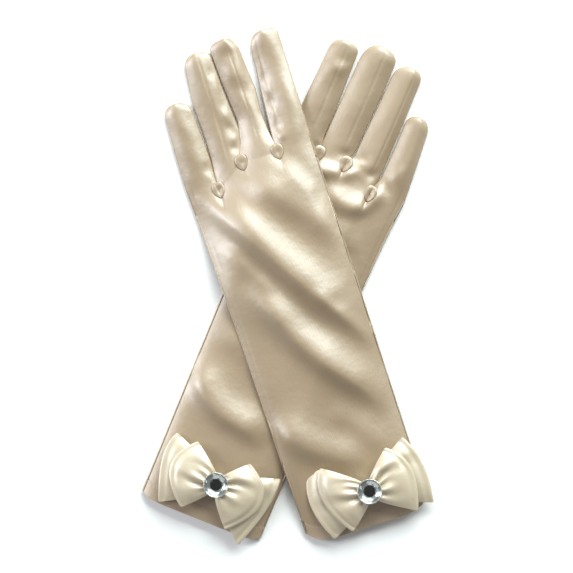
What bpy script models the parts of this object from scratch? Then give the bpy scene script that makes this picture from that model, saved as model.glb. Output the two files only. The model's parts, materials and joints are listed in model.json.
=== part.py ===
"""A crossed pair of long satin gloves, each with a double bow and a round stone at its cuff.

Run it with: blender --background --python part.py

Both gloves lie flat, palm down, with their thumbs tucked under their palms. The left glove lies on
the right one. +Y points towards the fingertips and +Z up. Lengths are in metres.

Each glove has its own flat frame: t runs towards the thumb side, y from the cuff's edge towards the
fingertips, and z up from whatever the glove lies on.
"""

from collections import namedtuple
from math import ceil, cos, pi, radians, sin, sqrt

import bmesh
import bpy
from mathutils import Matrix, Vector

# Fit
GAP = 0.0003  # kept between pieces that touch
DRAPE_GAP = 0.0010  # between the right glove and the left glove that lies on it
PANEL = 0.0007  # thickness of one sewn satin panel with its turned seam

# Sleeve and hand, measured flat
HAND_LENGTH = 0.2390  # from the cuff's edge to the root of the middle finger
HOLLOW = 0.0049  # inside height of the sleeve, at its middle
ARCH_POWER = 4  # the higher, the flatter the sleeve's top and the steeper its edges
CUFF_THUMB_SIDE = 0.0405  # middle line to the edge on the thumb side
CUFF_LITTLE_SIDE = 0.0410
HAND_THUMB_SIDE = 0.0395
HEM = 0.0090  # width of the turned hem
HEM_PLY = 0.0010  # its two layers
HEM_NARROWING = 0.7  # how far the inner ply follows the outer one in at the top, as a share of the inset
QUIRK_DEPTH = 0.0090  # how far the crotch gusset reaches down into the hand

# Fingers: flat width, distance of the root from the cuff's edge, and length beyond that root
Finger = namedtuple("Finger", "name width root length")
FINGERS = (
    Finger("index", 0.0195, HAND_LENGTH - 0.0010, 0.0775),
    Finger("middle", 0.0195, HAND_LENGTH, 0.0805),
    Finger("ring", 0.0190, HAND_LENGTH - 0.0030, 0.0790),
    Finger("little", 0.0170, HAND_LENGTH - 0.0120, 0.0610),
)
FINGER_SPACING = 0.0034  # between the sides of two fingers at their roots
FINGER_WALL = 0.0034  # height of the side strip (fourchette) between a finger's back and front
FINGER_CROWN = 0.0018  # rise of a finger's back over its side strips
TIP_ROUNDING = 0.0085
TIP_WIDTH_SHARE = 0.90  # a finger's width near its tip against the width at its root
KNUCKLE = 0.0025  # from a finger's root to its hinge line
COVERED_LENGTH = 0.0290  # part of the right index finger that lies under the left glove

# Thumb, pressed flat and tucked under the palm
THUMB_WIDTH = 0.0210
THUMB_LENGTH = 0.0600
THUMB_PLY = 0.0018  # its two layers together
THUMB_ROOT = (0.0230, HAND_LENGTH - 0.0710)
THUMB_TURN = radians(22)  # its tip leans away from the thumb side
THUMB_GAP = 0.0008  # between the thumb and the palm over it
THUMB_CLEAR = 0.0080  # how far past the thumb's edge the palm stays fully lifted
THUMB_RAMP = 0.0120  # width over which the palm then comes down

# Bows: two folded loops each, gathered at the middle
LARGE_BOW_LENGTH = 0.0745
LARGE_BOW_HEIGHT = 0.0470
SMALL_BOW_LENGTH = 0.0580
SMALL_BOW_HEIGHT = 0.0390
BOW_PLY = 0.0030  # thickness of a folded loop
BOW_WAIST = 0.0100
BOW_BULGE = 0.0035  # how far a loop's outer end bows out
BOW_FLARE = 0.8  # under 1, a loop widens faster near the gathers than near its end
BOW_PUFF = 0.0014
LEFT_BOW_PLACE = (0.0060, 0.0160)
RIGHT_BOW_PLACE = (-0.0018, 0.0235)
WRAP_WIDTH = 0.0085
WRAP_PLY = 0.0008
STITCH_SPAN = 0.0075
STITCH_WIDTH = 0.0011
STITCH_HEIGHT = 0.0005

# How the gloves cross: middle of each cuff, turn from +Y, and each finger's lean to the thumb side.
# The cuffs lie as far apart as the wider of cuff and bow, and the height of the right glove's bow, need.
SIDE_REACH = max(CUFF_LITTLE_SIDE, LARGE_BOW_LENGTH / 2 + 0.00375)
LEFT_CUFF, LEFT_TURN = (SIDE_REACH + 0.0100, 0.0), radians(17.9)
RIGHT_CUFF, RIGHT_TURN = (-SIDE_REACH - LARGE_BOW_HEIGHT / 2 + 0.0085, 0.0), radians(-22.0)
LEFT_LEAN = {"index": 0.5, "middle": -0.6, "ring": 1.2, "little": 0.4}
RIGHT_LEAN = {"index": -1.4, "middle": -1.2, "ring": -2.0, "little": 2.4}
DRAPE_INSIDE = 0.0127  # from the right glove's widest edge in to the top of the left glove's hump over it
DRAPE_OUTSIDE = 0.0103  # from that edge out to the hump's foot

# Stone
STONE_RADIUS = 0.0070
STONE_FACETS = 16
STONE_GIRDLE = 0.0004
STONE_CROWN = 0.0017
STONE_PAVILION = 0.0011
STONE_TABLE = 0.0040
CUP_RIM = 0.0005
CUP_FLOOR = 0.0005

# Fineness of the meshes
HAND_ROW_PITCH = 0.0060
HEM_COLUMNS = 12
FINGER_COLUMNS = 4
FINGER_ROWS = 8
BOW_COLUMNS = 20
BOW_ROWS = 6
TIP_SHARE = 0.75  # share of a finger's rows before its rounded tip
TIP_SWEEP = radians(78)
POLE_MERGE = 1e-6  # points this near to each other at a turned piece's poles become one
AXES_SIZE = 0.01  # how large a parent's axes are drawn

BACK_UNDERSIDE = PANEL + GAP
BACK_TOP = BACK_UNDERSIDE + HOLLOW + PANEL
UP = Vector((0.0, 0.0, 1.0))


def clear_scene():
    for thing in list(bpy.data.objects):
        bpy.data.objects.remove(thing, do_unlink=True)


def finish(name, colour, roughness, metallic=0.0, transmission=0.0):
    """A plain Principled material."""
    material = bpy.data.materials.new(name)
    material.use_nodes = True
    shader = material.node_tree.nodes["Principled BSDF"]
    shader.inputs["Base Color"].default_value = (*colour, 1.0)
    shader.inputs["Roughness"].default_value = roughness
    shader.inputs["Metallic"].default_value = metallic
    shader.inputs["Transmission Weight"].default_value = transmission
    material.diffuse_color = (*colour, 1.0)
    return material


def smooth_step(x):
    x = min(max(x, 0.0), 1.0)
    return x * x * (3.0 - 2.0 * x)


def mix(a, b, share):
    return a + (b - a) * share


class Glove:
    """Where one glove lies, and its height above the floor at every point."""

    def __init__(self, name, side, cuff, turn, lean, bow_place, lies_on=None):
        self.name = name
        self.side = side  # +1 when the thumb side is to the right of the cuff-to-fingers line
        self.cuff = cuff
        self.turn = turn
        self.lean = lean
        self.bow_place = bow_place
        self.lies_on = lies_on
        self.root = None

    def flat(self, x, y):
        """(t, y) of a point that is given in the pair's frame."""
        dx, dy = x - self.cuff[0], y - self.cuff[1]
        along = -sin(self.turn) * dx + cos(self.turn) * dy
        return self.side * (cos(self.turn) * dx + sin(self.turn) * dy), along

    def hump(self, x, y):
        """Height that this glove gives to a glove lying over it."""
        t, along = self.flat(x, y)
        foot = max(*hand_edges(0.0), *hand_edges(HAND_LENGTH), key=abs)
        share = smooth_step((abs(foot) + DRAPE_OUTSIDE - abs(t)) / (DRAPE_INSIDE + DRAPE_OUTSIDE))
        return share * (BACK_TOP + DRAPE_GAP) + self.thumb_rise(t, along, 2 * THUMB_RAMP)

    def bed(self, x, y):
        return self.lies_on.hump(x, y) if self.lies_on else 0.0

    def thumb_rise(self, t, y, ramp=THUMB_RAMP):
        """How far the tucked thumb lifts the palm."""
        across, along = thumb_frame(t, y)
        beyond = along - min(max(along, 0.0), THUMB_LENGTH - THUMB_WIDTH / 2)
        away = sqrt(across**2 + beyond**2) - THUMB_WIDTH / 2 - THUMB_CLEAR
        return (THUMB_PLY + THUMB_GAP) * smooth_step(1 - away / ramp)

    def place(self, t, y, z, thumb=True):
        """A point of the glove in the pair's frame."""
        x = self.side * t
        where_x = self.cuff[0] + cos(self.turn) * x - sin(self.turn) * y
        where_y = self.cuff[1] + sin(self.turn) * x + cos(self.turn) * y
        lift = self.thumb_rise(t, y) if thumb else 0.0
        return Vector((where_x, where_y, self.bed(where_x, where_y) + lift + z))


def thumb_frame(t, y):
    """(across, along) in the thumb's own frame."""
    dt, dy = t - THUMB_ROOT[0], y - THUMB_ROOT[1]
    return cos(THUMB_TURN) * dt + sin(THUMB_TURN) * dy, -sin(THUMB_TURN) * dt + cos(THUMB_TURN) * dy


def add_object(name, bm, material, parent):
    """An object from a mesh given in the pair's frame, its origin at its parent."""
    mesh = bpy.data.meshes.new(name)
    bm.transform(parent.matrix_world.inverted())
    bm.to_mesh(mesh)
    bm.free()
    mesh.materials.append(material)
    thing = bpy.data.objects.new(name, mesh)
    thing.parent = parent
    bpy.context.scene.collection.objects.link(thing)
    return thing


def add_empty(name, parent, matrix):
    """An empty at a place given in the pair's frame."""
    empty = bpy.data.objects.new(name, None)
    empty.empty_display_size = AXES_SIZE
    empty.parent = parent
    empty.matrix_basis = parent.matrix_world.inverted() @ matrix if parent else matrix
    bpy.context.scene.collection.objects.link(empty)
    bpy.context.view_layer.update()
    return empty


def face_towards(bm, direction):
    """Turns an open sheet's faces to one side."""
    bm.normal_update()
    facing = sum((face.normal * face.calc_area() for face in bm.faces), Vector()).dot(direction)
    if facing < 0:
        bmesh.ops.reverse_faces(bm, faces=bm.faces)


def thicken(thing, thickness):
    modifier = thing.modifiers.new("ply", "SOLIDIFY")
    modifier.thickness = thickness
    modifier.offset = 1.0


def sheet(name, columns, rows, point, thickness, material, parent, facing=UP):
    """A grid shaped by point(u, v), with u and v from 0 to 1, thickened towards facing."""
    bm = bmesh.new()
    bmesh.ops.create_grid(bm, x_segments=columns, y_segments=rows, size=1.0)
    for vert in bm.verts:
        vert.co = point((vert.co.x + 1) / 2, (vert.co.y + 1) / 2)
    face_towards(bm, facing)
    thing = add_object(name, bm, material, parent)
    thicken(thing, thickness)
    return thing


def prism(name, outline, height, material, parent):
    """A flat outline of points in the pair's frame, extruded up."""
    bm = bmesh.new()
    face = bm.faces.new([bm.verts.new(point) for point in outline])
    face.normal_update()
    if face.normal.z > 0:
        face.normal_flip()
    top = bmesh.ops.extrude_face_region(bm, geom=[face])["geom"]
    raised = [item for item in top if isinstance(item, bmesh.types.BMVert)]
    bmesh.ops.translate(bm, verts=raised, vec=UP * height)
    bmesh.ops.recalc_face_normals(bm, faces=bm.faces)
    return add_object(name, bm, material, parent)


def loft(name, loops, material, parent):
    """A solid band through closed loops of points, the last joined to the first."""
    bm = bmesh.new()
    rings = [[bm.verts.new(point) for point in loop] for loop in loops]
    for ring, after in zip(rings, rings[1:] + rings[:1]):
        for i, vert in enumerate(ring):
            nearby = (i + 1) % len(ring)
            bm.faces.new((vert, ring[nearby], after[nearby], after[i]))
    bmesh.ops.recalc_face_normals(bm, faces=bm.faces)
    return add_object(name, bm, material, parent)


def turned(name, profile, centre, material, parent):
    """A (radius, height) profile turned round an upright axis."""
    bm = bmesh.new()
    verts = [bm.verts.new((radius, 0.0, height)) for radius, height in profile]
    edges = [bm.edges.new(pair) for pair in zip(verts, verts[1:])]
    bmesh.ops.spin(
        bm, geom=verts + edges, cent=(0, 0, 0), axis=UP, angle=2 * pi, steps=STONE_FACETS, use_merge=True
    )
    bmesh.ops.remove_doubles(bm, verts=bm.verts, dist=POLE_MERGE)
    bmesh.ops.recalc_face_normals(bm, faces=bm.faces)
    bm.transform(Matrix.Translation(centre))
    return add_object(name, bm, material, parent)


def hand_edges(y):
    """t of the hand's edge on the little-finger side and on the thumb side, at distance y."""
    share = min(max(y / FINGERS[-1].root, 0.0), 1.0)
    little = -mix(CUFF_LITTLE_SIDE, hand_width() - HAND_THUMB_SIDE, share)
    return little, mix(CUFF_THUMB_SIDE, HAND_THUMB_SIDE, share)


def hand_width():
    return sum(finger.width for finger in FINGERS) + FINGER_SPACING * (len(FINGERS) - 1)


def arch(t, y):
    """Share of the hollow's height at one place: 1 at the middle, 0 at the two edges."""
    little, thumb = hand_edges(y)
    q = (2 * t - little - thumb) / (thumb - little)
    return 1 - min(abs(q), 1.0) ** ARCH_POWER


def finger_roots():
    """t of the middle of each finger's root."""
    roots, edge = {}, HAND_THUMB_SIDE
    for finger in FINGERS:
        roots[finger.name] = edge - finger.width / 2
        edge -= finger.width + FINGER_SPACING
    return roots


def hinge_distance(glove, finger):
    """From a finger's root to its hinge line. The right index finger bends past the glove over it."""
    covered = glove.lies_on is None and finger.name == "index"
    return COVERED_LENGTH if covered else KNUCKLE


def finger_point(glove, finger, across, along):
    """(t, y) of a point in a finger's own frame."""
    lean = radians(glove.lean[finger.name])
    t = finger_roots()[finger.name] + across * cos(lean) + along * sin(lean)
    return t, finger.root - across * sin(lean) + along * cos(lean)


def finger_outline(finger, start, v):
    """(along, half width, loft) at v from 0 at the start to 1 at the tip."""
    straight = finger.length - TIP_ROUNDING
    if v <= TIP_SHARE:
        along = mix(start, straight, v / TIP_SHARE)
        rounding = 1.0
    else:
        sweep = TIP_SWEEP * (v - TIP_SHARE) / (1 - TIP_SHARE)
        along = straight + TIP_ROUNDING * sin(sweep)
        rounding = cos(sweep)
    width = finger.width * mix(1.0, TIP_WIDTH_SHARE, along / finger.length)
    return along, width / 2 * rounding, rounding


def open_sides(finger):
    """The sides of a finger that have a side strip: +1 towards the thumb, -1 away from it."""
    sides = []
    if finger is not FINGERS[0]:
        sides.append(1)
    if finger is not FINGERS[-1]:
        sides.append(-1)
    return sides


def finger_back_height(finger, q, rounding):
    """Height of the underside of a finger's back, q from -1 to 1 across it."""
    if (1 if q > 0 else -1) in open_sides(finger):
        rise = FINGER_WALL + FINGER_CROWN * (1 - q * q)
    else:
        rise = (FINGER_WALL + FINGER_CROWN) * (1 - q**4)
    return BACK_UNDERSIDE + rise * rounding


def panel(glove, name, height, material):
    """A hand panel from the hem to the fingers' hinge lines, notched for the crotch gussets."""
    tops, finger_of = [], []
    for finger in reversed(FINGERS):
        for step in range(FINGER_COLUMNS + 1):
            across = finger.width * (step / FINGER_COLUMNS - 0.5)
            tops.append(finger_point(glove, finger, across, 0.0))
            finger_of.append((finger, across))
        if finger is not FINGERS[0]:
            after = FINGERS[FINGERS.index(finger) - 1]
            side_a = finger_point(glove, finger, finger.width / 2, 0.0)
            side_b = finger_point(glove, after, -after.width / 2, 0.0)
            tops.append(((side_a[0] + side_b[0]) / 2, min(side_a[1], side_b[1]) - QUIRK_DEPTH))
            finger_of.append((None, 0.0))
    columns = len(tops) - 1
    little, thumb = hand_edges(0.0)

    def at(u, v):
        t_top, y_top = tops[round(u * columns)]
        share = (t_top - tops[0][0]) / (tops[-1][0] - tops[0][0])
        y = mix(HEM, y_top, v)
        t = mix(mix(little, thumb, share), t_top, y / y_top)
        return glove.place(t, y, height(t, y))

    bm = bmesh.new()
    rows = ceil(HAND_LENGTH / HAND_ROW_PITCH)
    bmesh.ops.create_grid(bm, x_segments=columns, y_segments=rows, size=1.0)
    top_verts = {}
    for vert in bm.verts:
        u, v = (vert.co.x + 1) / 2, (vert.co.y + 1) / 2
        vert.co = at(u, v)
        if v > 1 - 0.5 / rows:
            top_verts[round(u * columns)] = vert
    for finger in FINGERS:
        members = [k for k in range(columns + 1) if finger_of[k][0] is finger]
        edge_verts = {k: top_verts[k] for k in members}
        reach = hinge_distance(glove, finger)
        steps = ceil(reach / HAND_ROW_PITCH)
        for step in range(1, steps + 1):
            edges = [bm.edges.get((edge_verts[a], edge_verts[b])) for a, b in zip(members, members[1:])]
            made = bmesh.ops.extrude_edge_only(bm, edges=edges)["geom"]
            old = {k: vert.co.copy() for k, vert in edge_verts.items()}
            for vert in (item for item in made if isinstance(item, bmesh.types.BMVert)):
                near = min(members, key=lambda k: (old[k] - vert.co).length)
                t, y = finger_point(glove, finger, finger_of[near][1], reach * step / steps)
                vert.co = glove.place(t, y, height(t, y))
                edge_verts[near] = vert
    face_towards(bm, UP)
    thing = add_object(name, bm, material, glove.root)
    thicken(thing, PANEL)


def hem(glove, material):
    """The turned hem: a double-layer band all round the cuff's mouth."""
    little, thumb = hand_edges(0.0)
    middle, half = (little + thumb) / 2, (thumb - little) / 2
    shares = [2 * k / HEM_COLUMNS - 1 for k in range(HEM_COLUMNS + 1)]

    def loop(y, inset):
        width = half - 2 * inset
        lower = [(middle + q * width, inset) for q in shares]
        upper_edge = BACK_UNDERSIDE + PANEL
        rise = BACK_TOP - upper_edge
        upper = [
            (middle + q * width, upper_edge - inset * HEM_NARROWING + rise * (1 - abs(q) ** ARCH_POWER))
            for q in reversed(shares)
        ]
        return [glove.place(t, y, z) for t, z in lower + upper]

    far = HEM - GAP
    loops = [loop(0.0, 0.0), loop(far, 0.0), loop(far, HEM_PLY), loop(0.0, HEM_PLY)]
    loft(f"{glove.name}_cuff_hem", loops, material, glove.root)


def quirks(glove, material):
    """The small gussets at the foot of each gap between two fingers."""
    for thumbward, finger in zip(FINGERS, FINGERS[1:]):
        side_a = finger_point(glove, thumbward, -thumbward.width / 2, 0.0)
        side_b = finger_point(glove, finger, finger.width / 2, 0.0)
        t = (side_a[0] + side_b[0]) / 2
        y = min(side_a[1], side_b[1])
        half = FINGER_SPACING / 2 - GAP - PANEL  # a sloping panel reaches sideways by part of its ply
        low = QUIRK_DEPTH * half / (FINGER_SPACING / 2)
        outline = [(t, y - low), (t + half, y), (t, y + QUIRK_DEPTH / 2), (t - half, y)]
        points = [glove.place(*corner, BACK_UNDERSIDE) for corner in outline]
        name = f"{glove.name}_{thumbward.name}_{finger.name}_quirk"
        prism(name, points, FINGER_WALL, material, glove.root)


def side_strip(glove, finger, side, start, end, name, material, parent):
    """One fourchette: the strip that walls a finger between its back and its front."""

    def at(u, v):
        along = mix(start, end, u)
        width = finger.width * mix(1.0, TIP_WIDTH_SHARE, along / finger.length)
        across = side * (width / 2 - PANEL)
        t, y = finger_point(glove, finger, across, along)
        top = BACK_UNDERSIDE + FINGER_WALL - GAP
        return glove.place(t, y, mix(BACK_UNDERSIDE, top, v))

    outward_t, outward_y = finger_point(glove, finger, side, 0.0)
    origin_t, origin_y = finger_point(glove, finger, 0.0, 0.0)
    outward = glove.place(outward_t, outward_y, 0.0, thumb=False)
    outward -= glove.place(origin_t, origin_y, 0.0, thumb=False)
    outward.z = 0.0
    rows = round(FINGER_ROWS * TIP_SHARE)
    sheet(name, rows, 1, at, PANEL, material, parent, facing=outward)


def hinge_matrix(glove, finger):
    """A finger's hinge: its origin over the hinge line, its X along it and its Y along the finger."""
    bend = hinge_distance(glove, finger)
    heights = []
    for across in (-finger.width / 2, 0.0, finger.width / 2):
        point = glove.place(*finger_point(glove, finger, across, bend), 0.0)
        heights.append(point.z)
    middle = glove.place(*finger_point(glove, finger, 0.0, bend), 0.0)
    middle.z = max(heights) + BACK_UNDERSIDE + FINGER_WALL + FINGER_CROWN + PANEL
    turn = glove.turn - glove.side * radians(glove.lean[finger.name])
    return Matrix.Translation(middle) @ Matrix.Rotation(turn, 4, "Z")


def finger_pieces(glove, finger, satin):
    """One finger beyond its hinge line: back, front and side strips."""
    name = f"{glove.name}_{finger.name}"
    bend = hinge_distance(glove, finger)
    hinge = add_empty(f"{name}_hinge", glove.root, hinge_matrix(glove, finger))
    start = bend + GAP + PANEL

    def back(u, v):
        along, half, rounding = finger_outline(finger, start, v)
        q = 2 * u - 1
        t, y = finger_point(glove, finger, q * half, along)
        return glove.place(t, y, finger_back_height(finger, q, rounding))

    def front(u, v):
        along, half, _ = finger_outline(finger, start, v)
        t, y = finger_point(glove, finger, (2 * u - 1) * half, along)
        return glove.place(t, y, 0.0)

    sheet(f"{name}_finger_back", FINGER_COLUMNS, FINGER_ROWS, back, PANEL, satin, hinge)
    sheet(f"{name}_finger_front", FINGER_COLUMNS, FINGER_ROWS, front, PANEL, satin, hinge)
    sides = {1: "thumb_side", -1: "little_side"}
    end = finger.length - TIP_ROUNDING
    for side in open_sides(finger):
        strip = f"{name}_fourchette_{sides[side]}"
        side_strip(glove, finger, side, start, end, strip, satin, hinge)
        if bend > KNUCKLE:
            lower_end = bend - GAP - PANEL
            side_strip(glove, finger, side, KNUCKLE, lower_end, f"{strip}_lower", satin, glove.root)


def thumb(glove, material):
    """The thumb, pressed flat under the palm."""

    def at(u, v):
        half = THUMB_WIDTH / 2
        straight = THUMB_LENGTH - half
        if v <= TIP_SHARE:
            along, rounding = straight * v / TIP_SHARE, 1.0
        else:
            sweep = TIP_SWEEP * (v - TIP_SHARE) / (1 - TIP_SHARE)
            along, rounding = straight + half * sin(sweep), cos(sweep)
        across = (2 * u - 1) * half * rounding
        t = THUMB_ROOT[0] + across * cos(THUMB_TURN) - along * sin(THUMB_TURN)
        y = THUMB_ROOT[1] + across * sin(THUMB_TURN) + along * cos(THUMB_TURN)
        return glove.place(t, y, 0.0, thumb=False)

    sheet(f"{glove.name}_thumb", FINGER_COLUMNS, FINGER_ROWS, at, THUMB_PLY, material, glove.root)


def beyond_gathers(x, length):
    """How far out along a bow's loop a place is: 0 up to the gathered middle, 1 at the loop's end."""
    gathered = WRAP_WIDTH / 2 + LARGE_BOW_LENGTH / BOW_COLUMNS
    return min(max(abs(x) - gathered, 0.0) / (length / 2 - gathered), 1.0)


def bow_height(x, y):
    """Puff of the bow's loops at a place from its middle."""
    puff = BOW_PUFF * sin(pi * beyond_gathers(x, LARGE_BOW_LENGTH))
    return puff * (1 - min(abs(y) / LARGE_BOW_HEIGHT, 1.0))


def bow_loops(glove, name, length, height, z, material):
    """Both loops of a bow in one piece, gathered at the middle."""

    def at(u, v):
        x_share, y_share = 2 * u - 1, 2 * v - 1
        reach = length / 2 - BOW_BULGE * y_share**2
        x = reach * x_share
        spread = beyond_gathers(x, length - 2 * BOW_BULGE) ** BOW_FLARE
        y = y_share * mix(BOW_WAIST, height, spread) / 2
        t, along = glove.side * x + glove.bow_place[0], y + glove.bow_place[1]
        base = glove.place(t, along, 0.0)
        base.z = z + bow_height(x, y)
        return base

    sheet(f"{glove.name}_{name}", BOW_COLUMNS, BOW_ROWS, at, BOW_PLY, material, glove.root)


def bow(glove, satin, thread, foil, acrylic):
    """Stitches, two bows, the wrap round their middle, and the stone in its cup, from the cuff up."""
    middle = glove.place(*glove.bow_place, 0.0)
    stitches = middle.z + BACK_TOP + GAP
    wrap_low = stitches + STITCH_HEIGHT + GAP
    large = wrap_low + WRAP_PLY + GAP
    small = large + BOW_PLY + GAP
    wrap_high = small + BOW_PLY + GAP + WRAP_PLY
    cup = wrap_high + GAP

    def around(across, along, z):
        point = glove.place(glove.bow_place[0] + across, glove.bow_place[1] + along, 0.0)
        point.z = z
        return point

    arm, half = STITCH_SPAN / 2, STITCH_WIDTH / 2
    corner = [(arm, -half), (arm, half), (half, half)]
    outline = [
        (x * cos(k * pi / 2) - y * sin(k * pi / 2), x * sin(k * pi / 2) + y * cos(k * pi / 2))
        for k in range(4)
        for x, y in corner
    ]
    points = [around(x, y, stitches) for x, y in outline]
    prism(f"{glove.name}_bow_stitches", points, STITCH_HEIGHT, thread, glove.root)

    bow_loops(glove, "large_bow", LARGE_BOW_LENGTH, LARGE_BOW_HEIGHT, large, satin)
    bow_loops(glove, "small_bow", SMALL_BOW_LENGTH, SMALL_BOW_HEIGHT, small, satin)

    def band(across, inset):
        reach = BOW_WAIST / 2 + GAP + WRAP_PLY - inset
        low, high = wrap_low + inset, wrap_high - inset
        corners = ((-reach, low), (reach, low), (reach, high), (-reach, high))
        return [around(across, y, z) for y, z in corners]

    ends = (-WRAP_WIDTH / 2, WRAP_WIDTH / 2)
    loops = [band(ends[0], 0.0), band(ends[1], 0.0), band(ends[1], WRAP_PLY), band(ends[0], WRAP_PLY)]
    loft(f"{glove.name}_bow_wrap", loops, satin, glove.root)

    recess = STONE_RADIUS + GAP
    rim = CUP_FLOOR + STONE_PAVILION
    outside = recess + CUP_RIM
    cup_profile = [(0.0, 0.0), (outside, 0.0), (outside, rim), (recess, rim), (0.0, CUP_FLOOR)]
    centre = around(0.0, 0.0, cup)
    turned(f"{glove.name}_stone_cup", cup_profile, centre, foil, glove.root)
    girdle = STONE_PAVILION + STONE_GIRDLE
    stone_profile = [
        (0.0, 0.0),
        (STONE_RADIUS, STONE_PAVILION),
        (STONE_RADIUS, girdle),
        (STONE_TABLE, girdle + STONE_CROWN),
        (0.0, girdle + STONE_CROWN),
    ]
    seat = centre + UP * (CUP_FLOOR + GAP)
    turned(f"{glove.name}_stone", stone_profile, seat, acrylic, glove.root)


def build_glove(glove, origin, materials):
    satin, bow_satin, thread, foil, acrylic = materials
    glove.root = add_empty(f"{glove.name}_glove", origin, Matrix.Translation((*glove.cuff, 0.0)))
    panel(glove, f"{glove.name}_palm", lambda t, y: 0.0, satin)
    panel(glove, f"{glove.name}_back", lambda t, y: BACK_UNDERSIDE + HOLLOW * arch(t, y), satin)
    hem(glove, satin)
    quirks(glove, satin)
    for finger in FINGERS:
        finger_pieces(glove, finger, satin)
    thumb(glove, satin)
    bow(glove, bow_satin, thread, foil, acrylic)


def centre_on_floor(origin):
    """Moves the pair so that the middle of its box's underside is at the world's origin."""
    bpy.context.view_layer.update()
    graph = bpy.context.evaluated_depsgraph_get()
    corners = []
    for thing in bpy.context.scene.objects:
        if thing.type == "MESH":
            evaluated = thing.evaluated_get(graph)
            corners += [thing.matrix_world @ vert.co for vert in evaluated.data.vertices]
    lowest = Vector(min(point[axis] for point in corners) for axis in range(3))
    highest = Vector(max(point[axis] for point in corners) for axis in range(3))
    middle = (lowest + highest) / 2
    origin.location = (-middle.x, -middle.y, -lowest.z)
    bpy.context.view_layer.update()


def main():
    clear_scene()
    materials = (
        finish("champagne_satin", (0.62, 0.51, 0.40), 0.34),
        finish("ivory_satin", (0.80, 0.74, 0.63), 0.32),
        finish("ivory_thread", (0.78, 0.70, 0.58), 0.70),
        finish("silvered_foil", (0.80, 0.80, 0.80), 0.15, metallic=1.0),
        finish("clear_acrylic", (0.95, 0.97, 0.98), 0.03, transmission=0.8),
    )
    origin = add_empty("pair_of_gloves", None, Matrix.Identity(4))
    right = Glove("right", -1, RIGHT_CUFF, RIGHT_TURN, RIGHT_LEAN, RIGHT_BOW_PLACE)
    left = Glove("left", 1, LEFT_CUFF, LEFT_TURN, LEFT_LEAN, LEFT_BOW_PLACE, lies_on=right)
    build_glove(right, origin, materials)
    build_glove(left, origin, materials)
    centre_on_floor(origin)


main()
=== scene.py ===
"""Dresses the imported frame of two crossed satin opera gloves: cloth, bows, stones, floor and light.

Each glove is one skin of cloth, shaped in the glove's own flat frame and then cut into its panels. In that
frame t runs towards the thumb side, y from the cuff to the fingertips, and z up. Lengths are in metres;
the tables of folds and outlines are in millimetres.
"""

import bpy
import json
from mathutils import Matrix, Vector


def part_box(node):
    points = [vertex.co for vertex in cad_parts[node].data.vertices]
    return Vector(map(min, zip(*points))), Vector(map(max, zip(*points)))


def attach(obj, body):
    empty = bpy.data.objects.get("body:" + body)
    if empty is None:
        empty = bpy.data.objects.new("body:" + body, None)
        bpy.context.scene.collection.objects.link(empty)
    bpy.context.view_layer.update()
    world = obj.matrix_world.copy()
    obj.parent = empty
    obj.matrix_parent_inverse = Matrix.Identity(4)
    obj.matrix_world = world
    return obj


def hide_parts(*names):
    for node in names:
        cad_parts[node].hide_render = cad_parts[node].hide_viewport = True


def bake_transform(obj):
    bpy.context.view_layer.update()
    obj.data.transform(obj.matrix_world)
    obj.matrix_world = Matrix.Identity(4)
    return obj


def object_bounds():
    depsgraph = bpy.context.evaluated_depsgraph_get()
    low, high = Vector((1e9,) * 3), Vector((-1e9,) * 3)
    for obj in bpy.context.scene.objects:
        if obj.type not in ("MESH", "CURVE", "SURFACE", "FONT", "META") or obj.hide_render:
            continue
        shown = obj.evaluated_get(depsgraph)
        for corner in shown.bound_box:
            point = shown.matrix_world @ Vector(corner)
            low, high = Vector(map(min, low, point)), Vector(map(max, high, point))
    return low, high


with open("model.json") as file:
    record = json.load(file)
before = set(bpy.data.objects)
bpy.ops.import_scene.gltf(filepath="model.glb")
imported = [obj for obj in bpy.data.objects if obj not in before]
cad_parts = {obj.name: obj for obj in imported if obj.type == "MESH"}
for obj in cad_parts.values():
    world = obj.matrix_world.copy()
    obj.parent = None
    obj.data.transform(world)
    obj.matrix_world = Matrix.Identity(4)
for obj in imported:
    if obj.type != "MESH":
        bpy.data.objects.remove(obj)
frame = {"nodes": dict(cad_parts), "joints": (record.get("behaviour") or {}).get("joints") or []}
CAD_BOX = [list(corner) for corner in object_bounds()]

import json
from collections import namedtuple
from math import cos, pi, sin

import bpy
import numpy as np
from bpy.props import FloatProperty, FloatVectorProperty, PointerProperty
from bpy.types import Operator, Panel, PropertyGroup
from mathutils import Vector

bl_info = {
    "name": "Satin opera gloves",
    "version": (1, 0, 0),
    "blender": (4, 5, 0),
    "location": "3D Viewport > Sidebar > Gloves",
    "description": "Builds a crossed pair of satin gloves with bows and stones over their frame",
    "category": "Object",
}

MM = 0.001
FINGERS = ("little", "ring", "middle", "index")  # in the order of rising t

# Fineness of the cloth skin
SECTOR_COLUMNS = 32  # columns of each finger, and of the hand below it
HEM_ROWS = 8
HAND_ROWS = 170
FINGER_ROWS = 66
TIP_ROWS = 12
SIDE_STEPS = 4  # round the fold between the top layer and the bottom one
ROW_CROWDING = 1.25  # over 1, the hand's rows lie closer together near the fingers

KNUCKLE_RUN = 0.011  # length over which a finger's cloth bends
SMALLEST_SHEET = 0.011  # no piece of cloth is stated as narrower than this

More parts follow.
